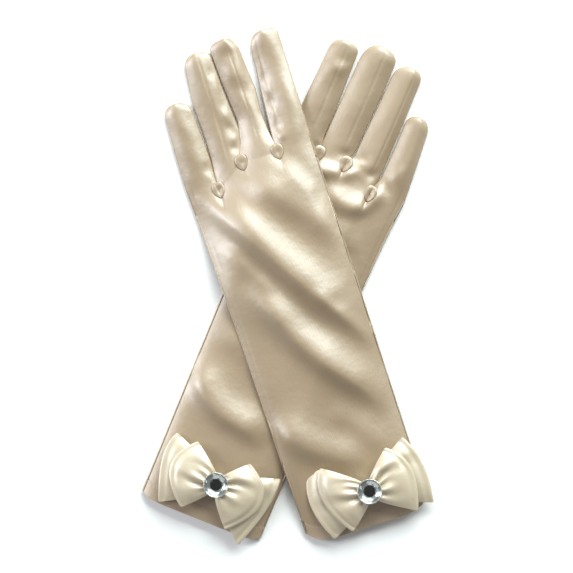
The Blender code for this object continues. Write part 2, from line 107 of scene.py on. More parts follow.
SEAM_INSET = 0.0030  # from a glove's little-finger edge to the seam between its back and its palm
MOUTH_CORNER_RISE = 0.0015  # how far a mouth's corners are drawn up by their gathers
HAND_RIPPLE = 0.00016  # height of the slow unevenness of the sleeve and the hand
FINGER_RIPPLE = 0.00070
THUMB_SHOWS = 0.45  # how much of the tucked thumb's lift shows on top
THUMB_TIP = 0.0105  # from a thumb's tip back to the middle of its rounding
THUMB_REACH = 0.0185  # how far from the thumb's middle line the palm is lifted all the way
THUMB_FADE = 0.012  # and over how much more the lift fades out
THUMB_MIDDLE = 0.00105  # from a thumb's bed to the middle of its height
THUMB_HALF_HEIGHT = 0.0008

GUSSET_HALF = 0.0040  # half a gusset's width
GUSSET_FOOT = 0.0064  # from a gusset's middle to its pointed foot
GUSSET_HEAD = 0.0044  # from its middle to its squarer top, towards the gap
GUSSET_RISE = 0.0012  # from the foot of the gap up to a gusset's middle
GUSSET_DOME = 0.00085
GUSSET_PLY = 0.0005

FLOOR_HALF = 3.0
AIR_STRENGTH = 0.28  # of the white light from all round
CAMERA_OVER = (0.0003, -0.0006)  # where in the plan the camera hangs
# Softboxes: name, place from the middle of the pair, width, height, power in W, colour.
LIGHTS = (
    ("top_softbox", (1.00, 2.65, 1.70), 3.4, 2.4, 228.0, "#EFF9F6"),
    ("left_softbox", (-2.80, 0.60, 1.40), 1.0, 2.0, 70.0, "#F5F9FF"),
)

BOW_ROWS = 26  # along a loop, on each of its two layers
BOW_COLUMNS = 30  # from its lower edge to its upper one
BOW_TURN = 6  # round the fold at its end
BOW_RIPPLE = 0.0011
BOW_DROOP = 0.0012  # how far a loop's end hangs below its gathers
BOW_THINNEST = 0.0008  # between a loop's two layers
LARGE_BOW_SINK = -0.0006  # the large bow's underside settles into the cloth below it

STITCH_PITCH = 0.0026
STITCH_LENGTH = 0.0019
STITCH_RADIUS = 0.00016
STITCH_MARGIN = 0.002  # left free at either end of a hem

# Folds lie along a path of (t, y) points, in mm. The height is in mm, and the spreads, also in mm, are
# the widths of the slopes on the left and on the right of the path.
Fold = namedtuple("Fold", "path height left right")
LEFT_FOLDS = (
    Fold(((-42, 232), (-29, 211), (-15, 188), (-2, 167), (11, 147), (23, 129), (34, 112)), 4.0, 10.0, 5.0),
    Fold(((-14, 232), (-1, 221), (13, 207), (26, 192), (38, 170)), 1.9, 8.0, 6.5),
    Fold(((-30, 168), (-19, 146), (-8, 121), (5, 101), (22, 80), (36, 58)), 3.7, 9.0, 5.0),
    Fold(((5, 150), (15, 137), (28, 121), (40, 102)), 1.3, 4.0, 4.0),
    Fold(((-44, 78), (-25, 57), (-3, 41), (14, 34)), 2.4, 9.0, 6.0),
    Fold(((-6, 76), (12, 58), (28, 34)), 0.8, 6.0, 5.0),
    Fold(((-38, 196), (-24, 172), (-12, 152)), 0.9, 4.5, 4.0),
    Fold(((14, 226), (24, 214), (36, 206)), 0.6, 5.0, 5.0),
)
RIGHT_FOLDS = (
    Fold(((22, 233), (11, 234), (2, 236), (-7, 239), (-12, 246)), 1.5, 3.2, 5.0),
    Fold(((10, 224), (-1, 222), (-9, 219), (-17, 219), (-24, 224), (-29, 234), (-30, 244)), 2.0, 3.6, 5.5),
    Fold(((24, 218), (4, 206), (-16, 198), (-34, 200)), 1.4, 5.0, 8.0),
    Fold(((46, 94), (30, 77), (13, 67), (-6, 63), (-24, 56)), 3.0, 4.5, 9.0),
    Fold(((36, 122), (14, 110), (-10, 101), (-30, 92)), 1.1, 5.0, 9.0),
    Fold(((-14, 196), (-30, 160), (-36, 120)), 1.0, 5.0, 5.0),
)

# Dents and puffs of the gathered seams: (t, y) in mm, depth in mm, radius across and along in mm
Dent = namedtuple("Dent", "t y height across along")
LEFT_DENTS = (
    Dent(21.5, 287, -0.96, 3.8, 3.9),
    Dent(20.8, 279, 0.72, 3.8, 3.7),
    Dent(20.6, 271, -0.96, 3.6, 3.7),
    Dent(20.6, 263.5, 0.72, 3.6, 3.4),
    Dent(20, 255, -0.96, 3.4, 3.2),
    Dent(20.6, 248, 0.72, 3.1, 3),
    Dent(5, 308, -1, 4.3, 4.8),
    Dent(2.9, 295, 0.88, 5, 5.8),
    Dent(7.6, 284, -0.88, 5, 5.8),
    Dent(-8.4, 300, -0.72, 3.1, 3.4),
    Dent(-6.6, 291, 0.72, 4.1, 5.8),
    Dent(-7.4, 278, -0.64, 4.3, 5.1),
    Dent(-6.9, 271.5, 0.56, 3.6, 3.7),
    Dent(-7.3, 263, -0.96, 3.6, 3.7),
    Dent(-7.4, 255, 0.72, 3.4, 3),
    Dent(-8.4, 250, -0.72, 2.9, 2.5),
    Dent(-29, 243, -0.64, 3.6, 3.4),
    Dent(-27.8, 236, 0.56, 2.9, 3),
)
RIGHT_DENTS = (
    Dent(19, 305, -0.72, 6, 3.4),
    Dent(24, 298, 0.64, 6, 3.4),
    Dent(17.6, 247, -0.72, 3.6, 2.8),
    Dent(-0.5, 249, -0.72, 4.1, 3),
    Dent(-4, 243, -0.56, 3.6, 2.3),
    Dent(-13.4, 252, -0.72, 3.8, 3.9),
    Dent(-20.5, 243, -0.8, 4.1, 3.2),
    Dent(-33, 238, -0.8, 4.3, 5.1),
    Dent(-36, 250, 0.72, 4.1, 5.1),
)

# How far the middle of each cuff's mouth hangs out past its corners, in mm
MOUTH_SAG = {"left": 6.0, "right": 1.5}

# Where each finger's back ends and its side strip begins, as a share of the half width from the middle:
# the seam on the little-finger side, and the one on the thumb side
SEAMS = {
    "left": {"little": (-2.0, 0.86), "ring": (-0.9, 0.14), "middle": (-0.9, 0.12), "index": (-0.62, 2.0)},
    "right": {"little": (-2.0, 0.86), "ring": (-0.42, 0.9), "middle": (-0.36, 0.9), "index": (-0.3, 2.0)},
}

# Outlines of the fingers against their CAD backs: shares of the half width at the root, the middle and the
# tip, on the little-finger side and on the thumb side, then the added length in mm, and how square the two
# corners of the tip are
Shape = namedtuple("Shape", "little thumb longer little_corner thumb_corner")
SHAPES = {
    "left": {
        "little": Shape((1.06, 1.00, 0.86), (1.45, 1.42, 0.98), 0.3, 2.2, 2.6),
        "ring": Shape((1.45, 1.18, 0.86), (1.60, 1.40, 1.10), 0.0, 2.2, 3.4),
        "middle": Shape((1.40, 1.25, 1.16), (1.40, 0.98, 0.70), -1.2, 4.0, 1.7),
        "index": Shape((1.40, 1.14, 0.86), (1.02, 1.00, 1.00), 0.6, 1.9, 7.0),
    },
    "right": {
        "little": Shape((1.02, 0.98, 0.88), (1.40, 1.30, 0.98), 0.4, 2.0, 3.0),
        "ring": Shape((1.40, 1.30, 1.18), (1.40, 1.24, 0.96), 0.8, 3.2, 2.0),
        "middle": Shape((1.40, 1.30, 1.28), (1.40, 1.20, 0.84), 1.8, 3.0, 1.8),
        "index": Shape((1.40, 1.20, 1.06), (1.00, 0.90, 0.78), 0.8, 6.0, 2.0),
    },
}
# Boundaries between neighbouring fingers, from the little finger on: where they lie between the two
# fingers' middle lines, as shares, at even steps along the fingers
BOUNDARIES = {
    "left": ((0.53, 0.56, 0.50, 0.44), (0.38, 0.62, 0.52, 0.46), (0.43, 0.36, 0.44, 0.50)),
    "right": ((0.53, 0.50, 0.46, 0.44), (0.50, 0.48, 0.44, 0.42), (0.47, 0.46, 0.44, 0.42)),
}
# How far each gap's foot lies from its CAD gusset: (towards the thumb, towards the tips) in mm
CROTCHES = {
    "left": ((0.7, 0.0), (-2.6, 3.4), (-1.5, 0.6)),
    "right": ((3.6, 4.6), (2.6, 6.6), (-1.8, 5.0)),
}
# How far the little-finger edge of each sleeve lies inside its CAD outline below the hand, in mm
EDGE_TUCK = {"left": 0.9, "right": 2.6}

# Outer ends of the bows' loops: (x, y) in mm from the stone, x to the right with the fingers up, at the
# loop's upper corner, the middle of its end, and its lower corner. The first loop is the left-hand one.
BOW_ENDS = {
    "left_large": (
        ((-31.0, 25.0), (-37.6, 4.0), (-29.5, -22.4)),
        ((29.6, 25.6), (36.6, 6.0), (35.8, -19.4)),
    ),
    "left_small": (
        ((-24.6, 22.8), (-29.4, 4.0), (-17.2, -21.0)),
        ((17.4, 22.8), (28.6, 6.0), (24.8, -21.0)),
    ),
    "right_large": (
        ((-34.2, 21.0), (-37.0, 3.0), (-29.0, -23.6)),
        ((35.8, 18.0), (35.0, -2.0), (26.6, -30.2)),
    ),
    "right_small": (
        ((-20.2, 20.8), (-30.4, 0.0), (-15.0, -21.2)),
        ((14.8, 20.0), (30.4, 1.0), (15.4, -24.2)),
    ),
}
# Pleats of each loop: (share of the way from the lower edge to the upper one, depth in mm, reach as a share
# of the loop's length). The first set is for left-hand loops.
BOW_PLEATS = (
    ((0.16, 1.5, 0.55), (0.38, 2.4, 0.95), (0.60, 2.0, 0.62), (0.80, 1.7, 0.80)),
    ((0.22, 1.9, 0.75), (0.47, 2.3, 0.60), (0.66, 2.4, 0.98), (0.86, 1.4, 0.50)),
)


def srgb(code):
    """Linear red, green and blue of an sRGB hex colour."""
    channels = [int(code[k : k + 2], 16) / 255 for k in (1, 3, 5)]
    return tuple(c / 12.92 if c <= 0.04045 else ((c + 0.055) / 1.055) ** 2.4 for c in channels)


def size(label, text, default):
    return FloatProperty(name=label, description=text, default=default, unit="LENGTH", precision=5)


def colour(label, text, code):
    return FloatVectorProperty(
        name=label, description=text, default=srgb(code), size=3, subtype="COLOR", min=0, max=1
    )


def factor(label, text, default, low=0.0, high=1.0):
    return FloatProperty(name=label, description=text, default=default, min=low, max=high, subtype="FACTOR")


class ClothSettings(PropertyGroup):
    """Sizes of the sewn cloth."""

    ply: size("Cloth thickness", "One layer of the satin with its turned seam", 0.00035)
    hem_ply: size("Hem thickness", "Two layers of satin, turned and stitched", 0.0008)
    hem_width: size("Hem width", "Width of the turned hem at the mouth", 0.0090)
    under: size("Underside gap", "From the floor or the glove below to the lowest layer", 0.0004)
    edge: size("Edge height", "Thickness of the flattened sleeve at its folded edge", 0.0021)
    loft: size("Sleeve loft", "Rise of the sleeve's middle over its edges", 0.0034)
    finger_loft: size("Finger loft", "Rise of a finger's middle over its edges", 0.0030)
    edge_roll: size("Edge roll", "How far the fold at the edge bows out", 0.0009)
    drape: size("Drape height", "Rise of the left glove where it lies over the right one", 0.0064)
    drape_flat: size("Drape top", "Half width of the top of that rise", 0.0330)
    drape_foot: size("Drape foot", "Half width of its foot", 0.0740)
    thumb_rise: size("Thumb rise", "How far the tucked thumb lifts the palm", 0.0026)
    seam_depth: size("Seam depth", "Depth of the groove along a sewn seam", 0.00035)
    seam_spread: size("Seam spread", "Width of one side of that groove", 0.00055)
    finger_gap: size("Finger gap", "Gap between two fingers that lie side by side", 0.0004)
    root_ease: size("Root ease", "Length over which the hand turns into the fingers", 0.014)
    fold_share: FloatProperty(
        name="Folds", description="Height of all folds against the tables", default=1.6, min=0.0, max=2.0
    )


class BowSettings(PropertyGroup):
    """Sizes of the bows."""

    ply: size("Satin thickness", "One layer of the bow's satin", 0.00045)
    waist: size("Waist", "Half width of a bow at its gathers", 0.0044)
    fold_radius: size("End fold", "Radius of the fold at a loop's outer end", 0.0011)
    puff_large: size("Large puff", "Rise of the large loops' upper layer", 0.0026)
    puff_small: size("Small puff", "Rise of the small loops' upper layer", 0.0034)
    rim: size("Rim", "Distance of the doubled edge from a loop's end", 0.0024)
    pleat_share: FloatProperty(
        name="Pleats", description="Depth of all pleats against the tables", default=1.6, min=0.0, max=3.0
    )
    wrap_width: size("Wrap width", "Width of the band round the gathers", 0.0088)


class StoneSettings(PropertyGroup):
    """Sizes of the stones and their cups."""

    table: factor("Table", "Radius of the flat top against the stone's radius", 0.56)


class FinishSettings(PropertyGroup):
    """Colours of the finishes."""

    glove: colour("Glove satin", "Champagne satin of the gloves", "#A98F6B")
    glove_shade: colour("Glove satin, deeper", "Deeper tone of the same satin", "#947A56")
    bow: colour("Bow satin", "Ivory satin of the bows", "#CFC0A4")
    bow_shade: colour("Bow satin, deeper", "Deeper tone of the same satin", "#BEAB8B")
    thread: colour("Thread", "Sewing thread", "#C9B79C")
    foil: colour("Foil", "Silvered foil of the stone's cup", "#F2F3F1")
    acrylic: colour("Acrylic", "Clear acrylic of the stones", "#F4F8F8")
    # painted reflection: the dark middle that the stone shows, painted on the cup's floor
    painted_reflection: colour("Backing", "Dark lacquer behind the middle of the stone", "#14120F")


class StageSettings(PropertyGroup):
    """Floor, light and camera."""

    floor: colour("Floor", "Pale matt paper", "#FFFFFF")
    lens: FloatProperty(name="Lens", description="Focal length in mm", default=200.0, min=50.0, max=400.0)
    view_width: size("View width", "Width of the floor that the camera takes in", 0.3639)


SETTINGS = {
    "glove_cloth": ClothSettings,
    "glove_bows": BowSettings,
    "glove_stones": StoneSettings,
    "glove_finishes": FinishSettings,
    "glove_stage": StageSettings,
}


# Materials


def add_node(tree, kind, inputs=None, **settings):
    """Adds a shader node with its settings, and sets or links its inputs."""
    node = tree.nodes.new(kind)
    for name, value in settings.items():
        setattr(node, name, value)
    for name, value in (inputs or {}).items():
        if isinstance(value, bpy.types.NodeSocket):
            tree.links.new(value, node.inputs[name])
        else:
            node.inputs[name].default_value = value
    return node


def new_material(name):
    """An empty material, its node tree, and its output node."""
    material = bpy.data.materials.new(name)
    material.use_nodes = True
    material.node_tree.nodes.clear()
    return material, material.node_tree, add_node(material.node_tree, "ShaderNodeOutputMaterial")


def opaque(rgb):
    return (*rgb, 1.0)


def rough_up(tree, place, kind, scale, strength, distance, socket="Fac", more=None, below=None, **settings):
    """The normal from a bump of one texture. more holds its other inputs, and below its own normal."""
    pattern = add_node(tree, kind, {"Vector": place, "Scale": scale, **(more or {})}, **settings)
    inputs = {"Height": pattern.outputs[socket], "Strength": strength, "Distance": distance}
    return add_node(tree, "ShaderNodeBump", {**inputs, **(below or {})}).outputs["Normal"]


def woven_satin(name, light, deep, roughness, streak):
    """Polyester satin, woven with long floats and calendered: a soft broad sheen with fine streaks."""
    material, tree, output = new_material(name)
    place = add_node(tree, "ShaderNodeUVMap", uv_map="cloth").outputs["UV"]
    # soft clouds of shade, 25 mm across
    cloud = add_node(tree, "ShaderNodeTexNoise", {"Vector": place, "Scale": 40.0, "Detail": 3.0})
    tone = add_node(tree, "ShaderNodeMix", {"Factor": cloud.outputs["Fac"]}, data_type="RGBA")
    ends = [socket for socket in tone.inputs if socket.type == "RGBA"]
    for socket, rgb in zip(ends, (light, deep)):
        socket.default_value = opaque(rgb)
    # small dents of handling, 4 mm across
    soft = rough_up(tree, place, "ShaderNodeTexNoise", 240.0, 0.5, 0.0003)
    # thread spacing is about 0.1 mm, too fine to show, so the floats are drawn 0.9 mm by 5 mm
    floats = add_node(tree, "ShaderNodeMapping", {"Vector": place, "Scale": (1100, 200, 1)})
    along = floats.outputs["Vector"]
    woven = rough_up(tree, along, "ShaderNodeTexNoise", 1.0, streak, 0.00012, below={"Normal": soft})
    shader = add_node(
        tree,
        "ShaderNodeBsdfPrincipled",
        {
            "Base Color": next(socket for socket in tone.outputs if socket.type == "RGBA"),
            "Roughness": roughness,
            "IOR": 1.54,
            "Specular IOR Level": 0.9,
            "Anisotropic": 0.3,
            "Coat Weight": 1.0,
            "Coat IOR": 2.2,
            "Coat Roughness": 0.48,
            "Coat Normal": woven,
            "Normal": woven,
        },
    )
    tree.links.new(shader.outputs["BSDF"], output.inputs["Surface"])
    return material


def plain_finish(name, rgb, inputs, kind, scale, strength, distance, **settings):
    """A Principled material of one colour, its surface broken by one texture."""
    material, tree, output = new_material(name)
    place = add_node(tree, "ShaderNodeTexCoord").outputs["Object"]
    normal = rough_up(tree, place, kind, scale, strength, distance, **settings)
    shader = add_node(
        tree, "ShaderNodeBsdfPrincipled", {"Base Color": opaque(rgb), **inputs, "Normal": normal}
    )
    tree.links.new(shader.outputs["BSDF"], output.inputs["Surface"])
    return material


def spun_thread(name, rgb):
    """Spun polyester thread, twisted: matt, with a fine slanting twist, one turn in 0.5 mm."""
    inputs = {"Roughness": 0.72, "IOR": 1.5}
    settings = {"more": {"Distortion": 1.0}, "bands_direction": "DIAGONAL"}
    return plain_finish(name, rgb, inputs, "ShaderNodeTexWave", 640.0, 0.4, 0.00005, **settings)


def embossed_foil(name, rgb):
    """Silvered foil, pressed into the cup: a bright mirror, broken by creases 0.8 mm apart."""
    inputs = {"Metallic": 1.0, "Roughness": 0.34}
    return plain_finish(
        name, rgb, inputs, "ShaderNodeTexVoronoi", 1250.0, 0.5, 0.0002, socket="Distance"
    )


def paint_dark_reflection(name, rgb):
    """Painted dark reflection behind the middle of the stone: glossy and nearly black, with a fine bump 1
    mm across.
    """
    inputs = {"Roughness": 0.12, "IOR": 1.5}
    return plain_finish(name, rgb, inputs, "ShaderNodeTexNoise", 1000.0, 0.3, 0.0001)


def cut_acrylic(name, rgb):
    """Clear acrylic, moulded and polished: clean highlights over a faint ripple, 2 mm across."""
    inputs = {"Roughness": 0.03, "IOR": 1.49, "Transmission Weight": 1.0}
    return plain_finish(name, rgb, inputs, "ShaderNodeTexNoise", 500.0, 0.1, 0.00005)


def matt_paper(name, rgb):
    """Matt coated paper, rolled smooth: even and pale with a barely visible tooth, 1 mm across."""
    inputs = {"Roughness": 0.9, "IOR": 1.5, "Specular IOR Level": 0.2}
    return plain_finish(name, rgb, inputs, "ShaderNodeTexNoise", 1000.0, 0.05, 0.00005)


def finish_of(name):
    """The material of that name, made when it is first asked for."""
    if name in bpy.data.materials:
        return bpy.data.materials[name]
    colours = bpy.context.scene.glove_finishes
    makers = {
        "champagne_woven_satin": lambda: woven_satin(name, colours.glove, colours.glove_shade, 0.48, 0.6),
        "ivory_woven_satin": lambda: woven_satin(name, colours.bow, colours.bow_shade, 0.42, 0.4),
        "spun_polyester_thread": lambda: spun_thread(name, colours.thread),
        "embossed_silvered_foil": lambda: embossed_foil(name, colours.foil),
        # painted reflection for the dark middle of the stone
        "brushed_dark_lacquer": lambda: paint_dark_reflection(name, colours.painted_reflection),
        "cut_clear_acrylic": lambda: cut_acrylic(name, colours.acrylic),
        "rolled_matt_paper": lambda: matt_paper(name, bpy.context.scene.glove_stage.floor),
    }
    return makers[name]()


# Shapes


def ease(x):
    x = np.clip(x, 0.0, 1.0)
    return x * x * (3.0 - 2.0 * x)


def mix(a, b, share):
    return a + (b - a) * share


def bump_of(x):
    """A smooth hill: 1 at 0, fading out past 1."""
    return np.exp(-0.5 * x * x)


def smooth_path(points, steps=6):
    """A Catmull-Rom line through points."""
    p = np.array(points, float)
    p = np.vstack([2 * p[0] - p[1], p, 2 * p[-1] - p[-2]])
    line = []
    for a, b, c, d in zip(p, p[1:], p[2:], p[3:]):
        for k in range(steps):
            # A shallow pressed cup with a milled rim; its middle is painted dark behind the stone, a
            # painted reflection of dark surroundings seen in the stone.
            u = k / steps
            bend, twist = 2 * a - 5 * b + 4 * c - d, 3 * b - a - 3 * c + d
            line.append(0.5 * (2 * b + (c - a) * u + bend * u**2 + twist * u**3))
    line.append(p[-2])
    return np.array(line)


def beside_path(points, t, y):
    """Distance from a path, positive on its left, and the share of its length, at each place."""
    line = smooth_path(points)
    start, step = line[:-1], np.diff(line, axis=0)
    length = np.hypot(step[:, 0], step[:, 1])
    rel = np.stack([t, y], -1)[..., None, :] - start
    share = np.clip((rel * step).sum(-1) / length**2, 0.0, 1.0)
    off = rel - share[..., None] * step
    distance = np.hypot(off[..., 0], off[..., 1])
    nearest = distance.argmin(-1)[..., None]

    def pick(values):
        return np.take_along_axis(values, nearest, -1)[..., 0]

    side = np.sign(step[:, 0] * off[..., 1] - step[:, 1] * off[..., 0])
    done = np.concatenate([[0.0], np.cumsum(length)[:-1]]) + share * length
    return pick(distance) * pick(side), pick(done) / length.sum()


def relief(folds, dents, t, y):
    """Height of the folds and dents at each place, in metres."""
    t, y = t / MM, y / MM
    rise = np.zeros_like(t)
    for fold in folds:
        away, share = beside_path(fold.path, t, y)
        spread = np.where(away > 0, fold.left, fold.right)
        fade = ease(share / 0.28) * ease((1 - share) / 0.28)
        rise += fold.height * bump_of(away / spread) * fade
    for dent in dents:
        away = np.hypot((t - dent.t) / dent.across, (y - dent.y) / dent.along)
        rise += dent.height * np.exp(-(away**2))
    return rise * MM


def ripples(t, y, seed):
    """Slow uneven waves of a soft sheet, from -1 to 1."""
    random = np.random.default_rng(seed)
    total = np.zeros_like(t)
    for _ in range(9):
        heading, wave = random.uniform(0.15, 1.2), random.uniform(0.018, 0.055)
        phase = random.uniform(0, 2 * pi)
        total += np.sin(2 * pi * (t * np.cos(heading) + y * np.sin(heading)) / wave + phase)
    return total / 9


def points_of(node):
    """A CAD node's vertices at rest."""
    return np.array([vert.co for vert in frame["nodes"][node].data.vertices], float)


class LaidFinger:
    """One finger in its glove's flat frame, read from its hinge and its CAD back."""

    def __init__(self, glove, name):
        self.name = name
        joint = next(j for j in frame["joints"] if j["name"] == f"{glove.name}_{name}_bend")
        self.body = joint["child"]
        self.hinge = np.array(joint["pos_m"])
        axis = np.array(joint["axis"][:2])
        self.across = axis if axis @ glove.across > 0 else -axis
        turn = np.array([-self.across[1], self.across[0]])
        self.along = turn if turn @ glove.up > 0 else -turn
        back = points_of(f"{glove.name}_{name}_finger_back")[:, :2] - self.hinge[:2]
        self.reach = (back @ self.along).max()
        self.half = np.abs(back @ self.across).max()

    def plan(self, across, along):
        """World x and y of places in the finger's frame, whose origin is its hinge."""
        return (
            self.hinge[0] + self.across[0] * across + self.along[0] * along,
            self.hinge[1] + self.across[1] * across + self.along[1] * along,
        )

    def seen_from(self, x, y):
        """(across, along) in the finger's frame."""
        dx, dy = x - self.hinge[0], y - self.hinge[1]
        return dx * self.across[0] + dy * self.across[1], dx * self.along[0] + dy * self.along[1]


class LaidGlove:
    """Where one glove lies, read from its CAD nodes, and the heights of its layers."""

    def __init__(self, name, folds, dents, lies_on=None):
        self.name, self.folds, self.dents, self.lies_on = name, folds, dents, lies_on
        self.body = f"{name}_glove"
        hem = points_of(f"{name}_cuff_hem")[:, :2]
        middle = (hem.max(0) + hem.min(0)) / 2
        spread = hem - hem.mean(0)
        wide = np.linalg.eigh(spread.T @ spread)[1][:, 1]
        hinge = {j["name"]: np.array(j["pos_m"][:2]) for j in frame["joints"] if "pos_m" in j}
        index, little = hinge[f"{name}_index_bend"], hinge[f"{name}_little_bend"]
        self.across = wide if wide @ (index - little) > 0 else -wide
        turn = np.array([-self.across[1], self.across[0]])
        self.up = turn if turn @ (index - middle) > 0 else -turn
        self.side = 1.0 if self.across[0] > 0 else -1.0  # +1 when the thumb side is on the right
        over = (hem - middle) @ self.across
        self.cuff_half = (over.max() - over.min()) / 2
        self.cuff = middle + self.across * (over.max() + over.min()) / 2
        self.cuff = self.cuff + self.up * ((hem - self.cuff) @ self.up).min()
        self.fingers = {finger: LaidFinger(self, finger) for finger in FINGERS}
        self.thumb = self.flat(*points_of(f"{name}_thumb")[:, :2].T)

    def flat(self, x, y):
        dx, dy = x - self.cuff[0], y - self.cuff[1]
        return dx * self.across[0] + dy * self.across[1], dx * self.up[0] + dy * self.up[1]

    def world(self, t, y):
        return (
            self.cuff[0] + self.across[0] * t + self.up[0] * y,
            self.cuff[1] + self.across[1] * t + self.up[1] * y,
        )

    def hump(self, x, y):
        """Height that this glove gives to the one lying over it."""
        cloth = bpy.context.scene.glove_cloth
        t, _ = self.flat(x, y)
        run = cloth.drape_foot - cloth.drape_flat
        return cloth.drape * ease((cloth.drape_foot - np.abs(t)) / run) + 0.6 * self.thumb_rise(x, y, 2.4)

    def bed(self, x, y):
        return self.lies_on.hump(x, y) if self.lies_on else np.zeros_like(x)

    def thumb_rise(self, x, y, widen=1.0):
        """How far the tucked thumb lifts the palm."""
        cloth = bpy.context.scene.glove_cloth
        t, along = self.flat(x, y)
        thumb_t, thumb_y = self.thumb
        root = np.array([thumb_t[thumb_y < thumb_y.min() + 0.01].mean(), thumb_y.min()])
        tip = np.array([thumb_t[thumb_y > thumb_y.max() - 0.004].mean(), thumb_y.max() - THUMB_TIP])
        run = tip - root
        share = np.clip(((t - root[0]) * run[0] + (along - root[1]) * run[1]) / (run @ run), 0, 1)
        away = np.hypot(t - root[0] - share * run[0], along - root[1] - share * run[1])
        fade = THUMB_FADE * widen
        return cloth.thumb_rise * ease((THUMB_REACH + fade - away) / fade)

    def crotch(self, little_side, thumb_side):
        """(t, y) of the foot of the gap between two fingers, read from its gusset."""
        t, y = self.flat(*points_of(f"{self.name}_{thumb_side}_{little_side}_quirk")[:, :2].T)
        off = CROTCHES[self.name][FINGERS.index(little_side)]
        return np.array([(t.max() + t.min()) / 2 + off[0] * MM, y[np.argmax(t)] + off[1] * MM])

    def root_corners(self):
        """(t, y) of the five points between which the fingers leave the hand, from the little finger."""
        inner = [self.crotch(a, b) for a, b in zip(FINGERS, FINGERS[1:])]
        corners = []
        for finger, near, side in ((FINGERS[0], inner[0], -1), (FINGERS[-1], inner[-1], 1)):
            laid = self.fingers[finger]
            _, along = laid.seen_from(*self.world(*near))
            corners.append(np.array(self.flat(*laid.plan(side * laid.half, along))))
        return [corners[0], *inner, corners[1]]


_gloves = {}


def glove_of(name):
    """The laid glove of that name; the left one lies on the right one."""
    if name not in _gloves:
        if name == "right":
            _gloves[name] = LaidGlove("right", RIGHT_FOLDS, RIGHT_DENTS)
        else:
            _gloves[name] = LaidGlove("left", LEFT_FOLDS, LEFT_DENTS, glove_of("right"))
    return _gloves[name]


class Skin:
    """One glove's whole skin as a single mesh, whose faces carry the name of the piece they belong to."""

    def __init__(self, side):
        self.side = side  # -1 on the glove whose frame is mirrored, so that its faces go the other way
        self.points, self.uvs, self.faces = [], [], {}
        self.count = 0

    def add(self, x, y, z, uvs):
        """Adds points and returns their numbers in the same layout."""
        points = np.stack([x, y, z], -1).astype(float)
        numbers = np.arange(points[..., 0].size).reshape(points.shape[:-1]) + self.count
        self.points.append(points.reshape(-1, 3))
        self.uvs.append(np.asarray(uvs, float).reshape(-1, 2))
        self.count += numbers.size
        return numbers

    def face(self, piece, corners):
        """Adds one face to a piece, its corners given as they go round on the glove that isn't mirrored."""
        self.faces.setdefault(piece, []).append(corners[::-1] if self.side < 0 else corners)

    def close(self):
        self.points, self.uvs = np.vstack(self.points), np.vstack(self.uvs)
        faces = np.vstack([np.array(faces) for faces in self.faces.values()])
        mesh = bpy.data.meshes.new("whole_skin")
        mesh.from_pydata(self.points.tolist(), [], faces.tolist())
        mesh.update()
        self.normals = np.zeros(len(mesh.vertices) * 3, np.float32)
        mesh.vertex_normals.foreach_get("vector", self.normals)
        self.normals = self.normals.reshape(-1, 3).astype(float)
        bpy.data.meshes.remove(mesh)


def upward(at, r, c):
    """The corners of a grid's cell, so that it faces up."""
    return at[r, c], at[r, c + 1], at[r + 1, c + 1], at[r + 1, c]


def downward(at, r, c):
    return at[r, c], at[r + 1, c], at[r + 1, c + 1], at[r, c + 1]


def sideways(a, b, r, side):
    """The corners of a cell between two lines round a glove's or a finger's edge."""
    quad = (a[r], b[r], b[r + 1], a[r + 1])
    return quad if side > 0 else quad[::-1]


def plan_rows(glove, cloth):
    """(t, y) of the hand's grid, rows from the mouth to the roots of the fingers."""
    corners = glove.root_corners()
    top = []
    for a, b in zip(corners, corners[1:]):
        top += [mix(a, b, k / SECTOR_COLUMNS) for k in range(SECTOR_COLUMNS)]
    top = np.array([*top, corners[-1]])
    top[0, 0] += cloth.edge_roll
    top[-1, 0] -= cloth.edge_roll
    share = (top[:, 0] - top[0, 0]) / (top[-1, 0] - top[0, 0])
    half = glove.cuff_half - cloth.edge_roll
    mouth_t = mix(-half, half, share)
    q = 2 * share - 1
    corner_rise = MOUTH_CORNER_RISE * (1 - ease((1 - np.abs(q)) / 0.12))
    mouth_y = -MOUTH_SAG[glove.name] * MM * (1 - q**6) + corner_rise
    rows_t, rows_y = [], []
    for row in range(HEM_ROWS + HAND_ROWS + 1):
        if row <= HEM_ROWS:
            y = mouth_y + cloth.hem_width * row / HEM_ROWS
        else:
            v = (row - HEM_ROWS) / HAND_ROWS
            y = mix(mouth_y + cloth.hem_width, top[:, 1], 1 - (1 - v) ** ROW_CROWDING)
        run = np.clip((y - mouth_y) / (top[:, 1] - mouth_y), 0, 1)
        # run**2 * (1 - run) is highest, 1 / 6.75, at two thirds of the way up
        tuck = EDGE_TUCK[glove.name] * MM * 6.75 * run**2 * (1 - run)
        rows_t.append(mix(mouth_t, top[:, 0], run) + tuck * (1 - share))
        rows_y.append(y)
    return np.array(rows_t), np.array(rows_y)


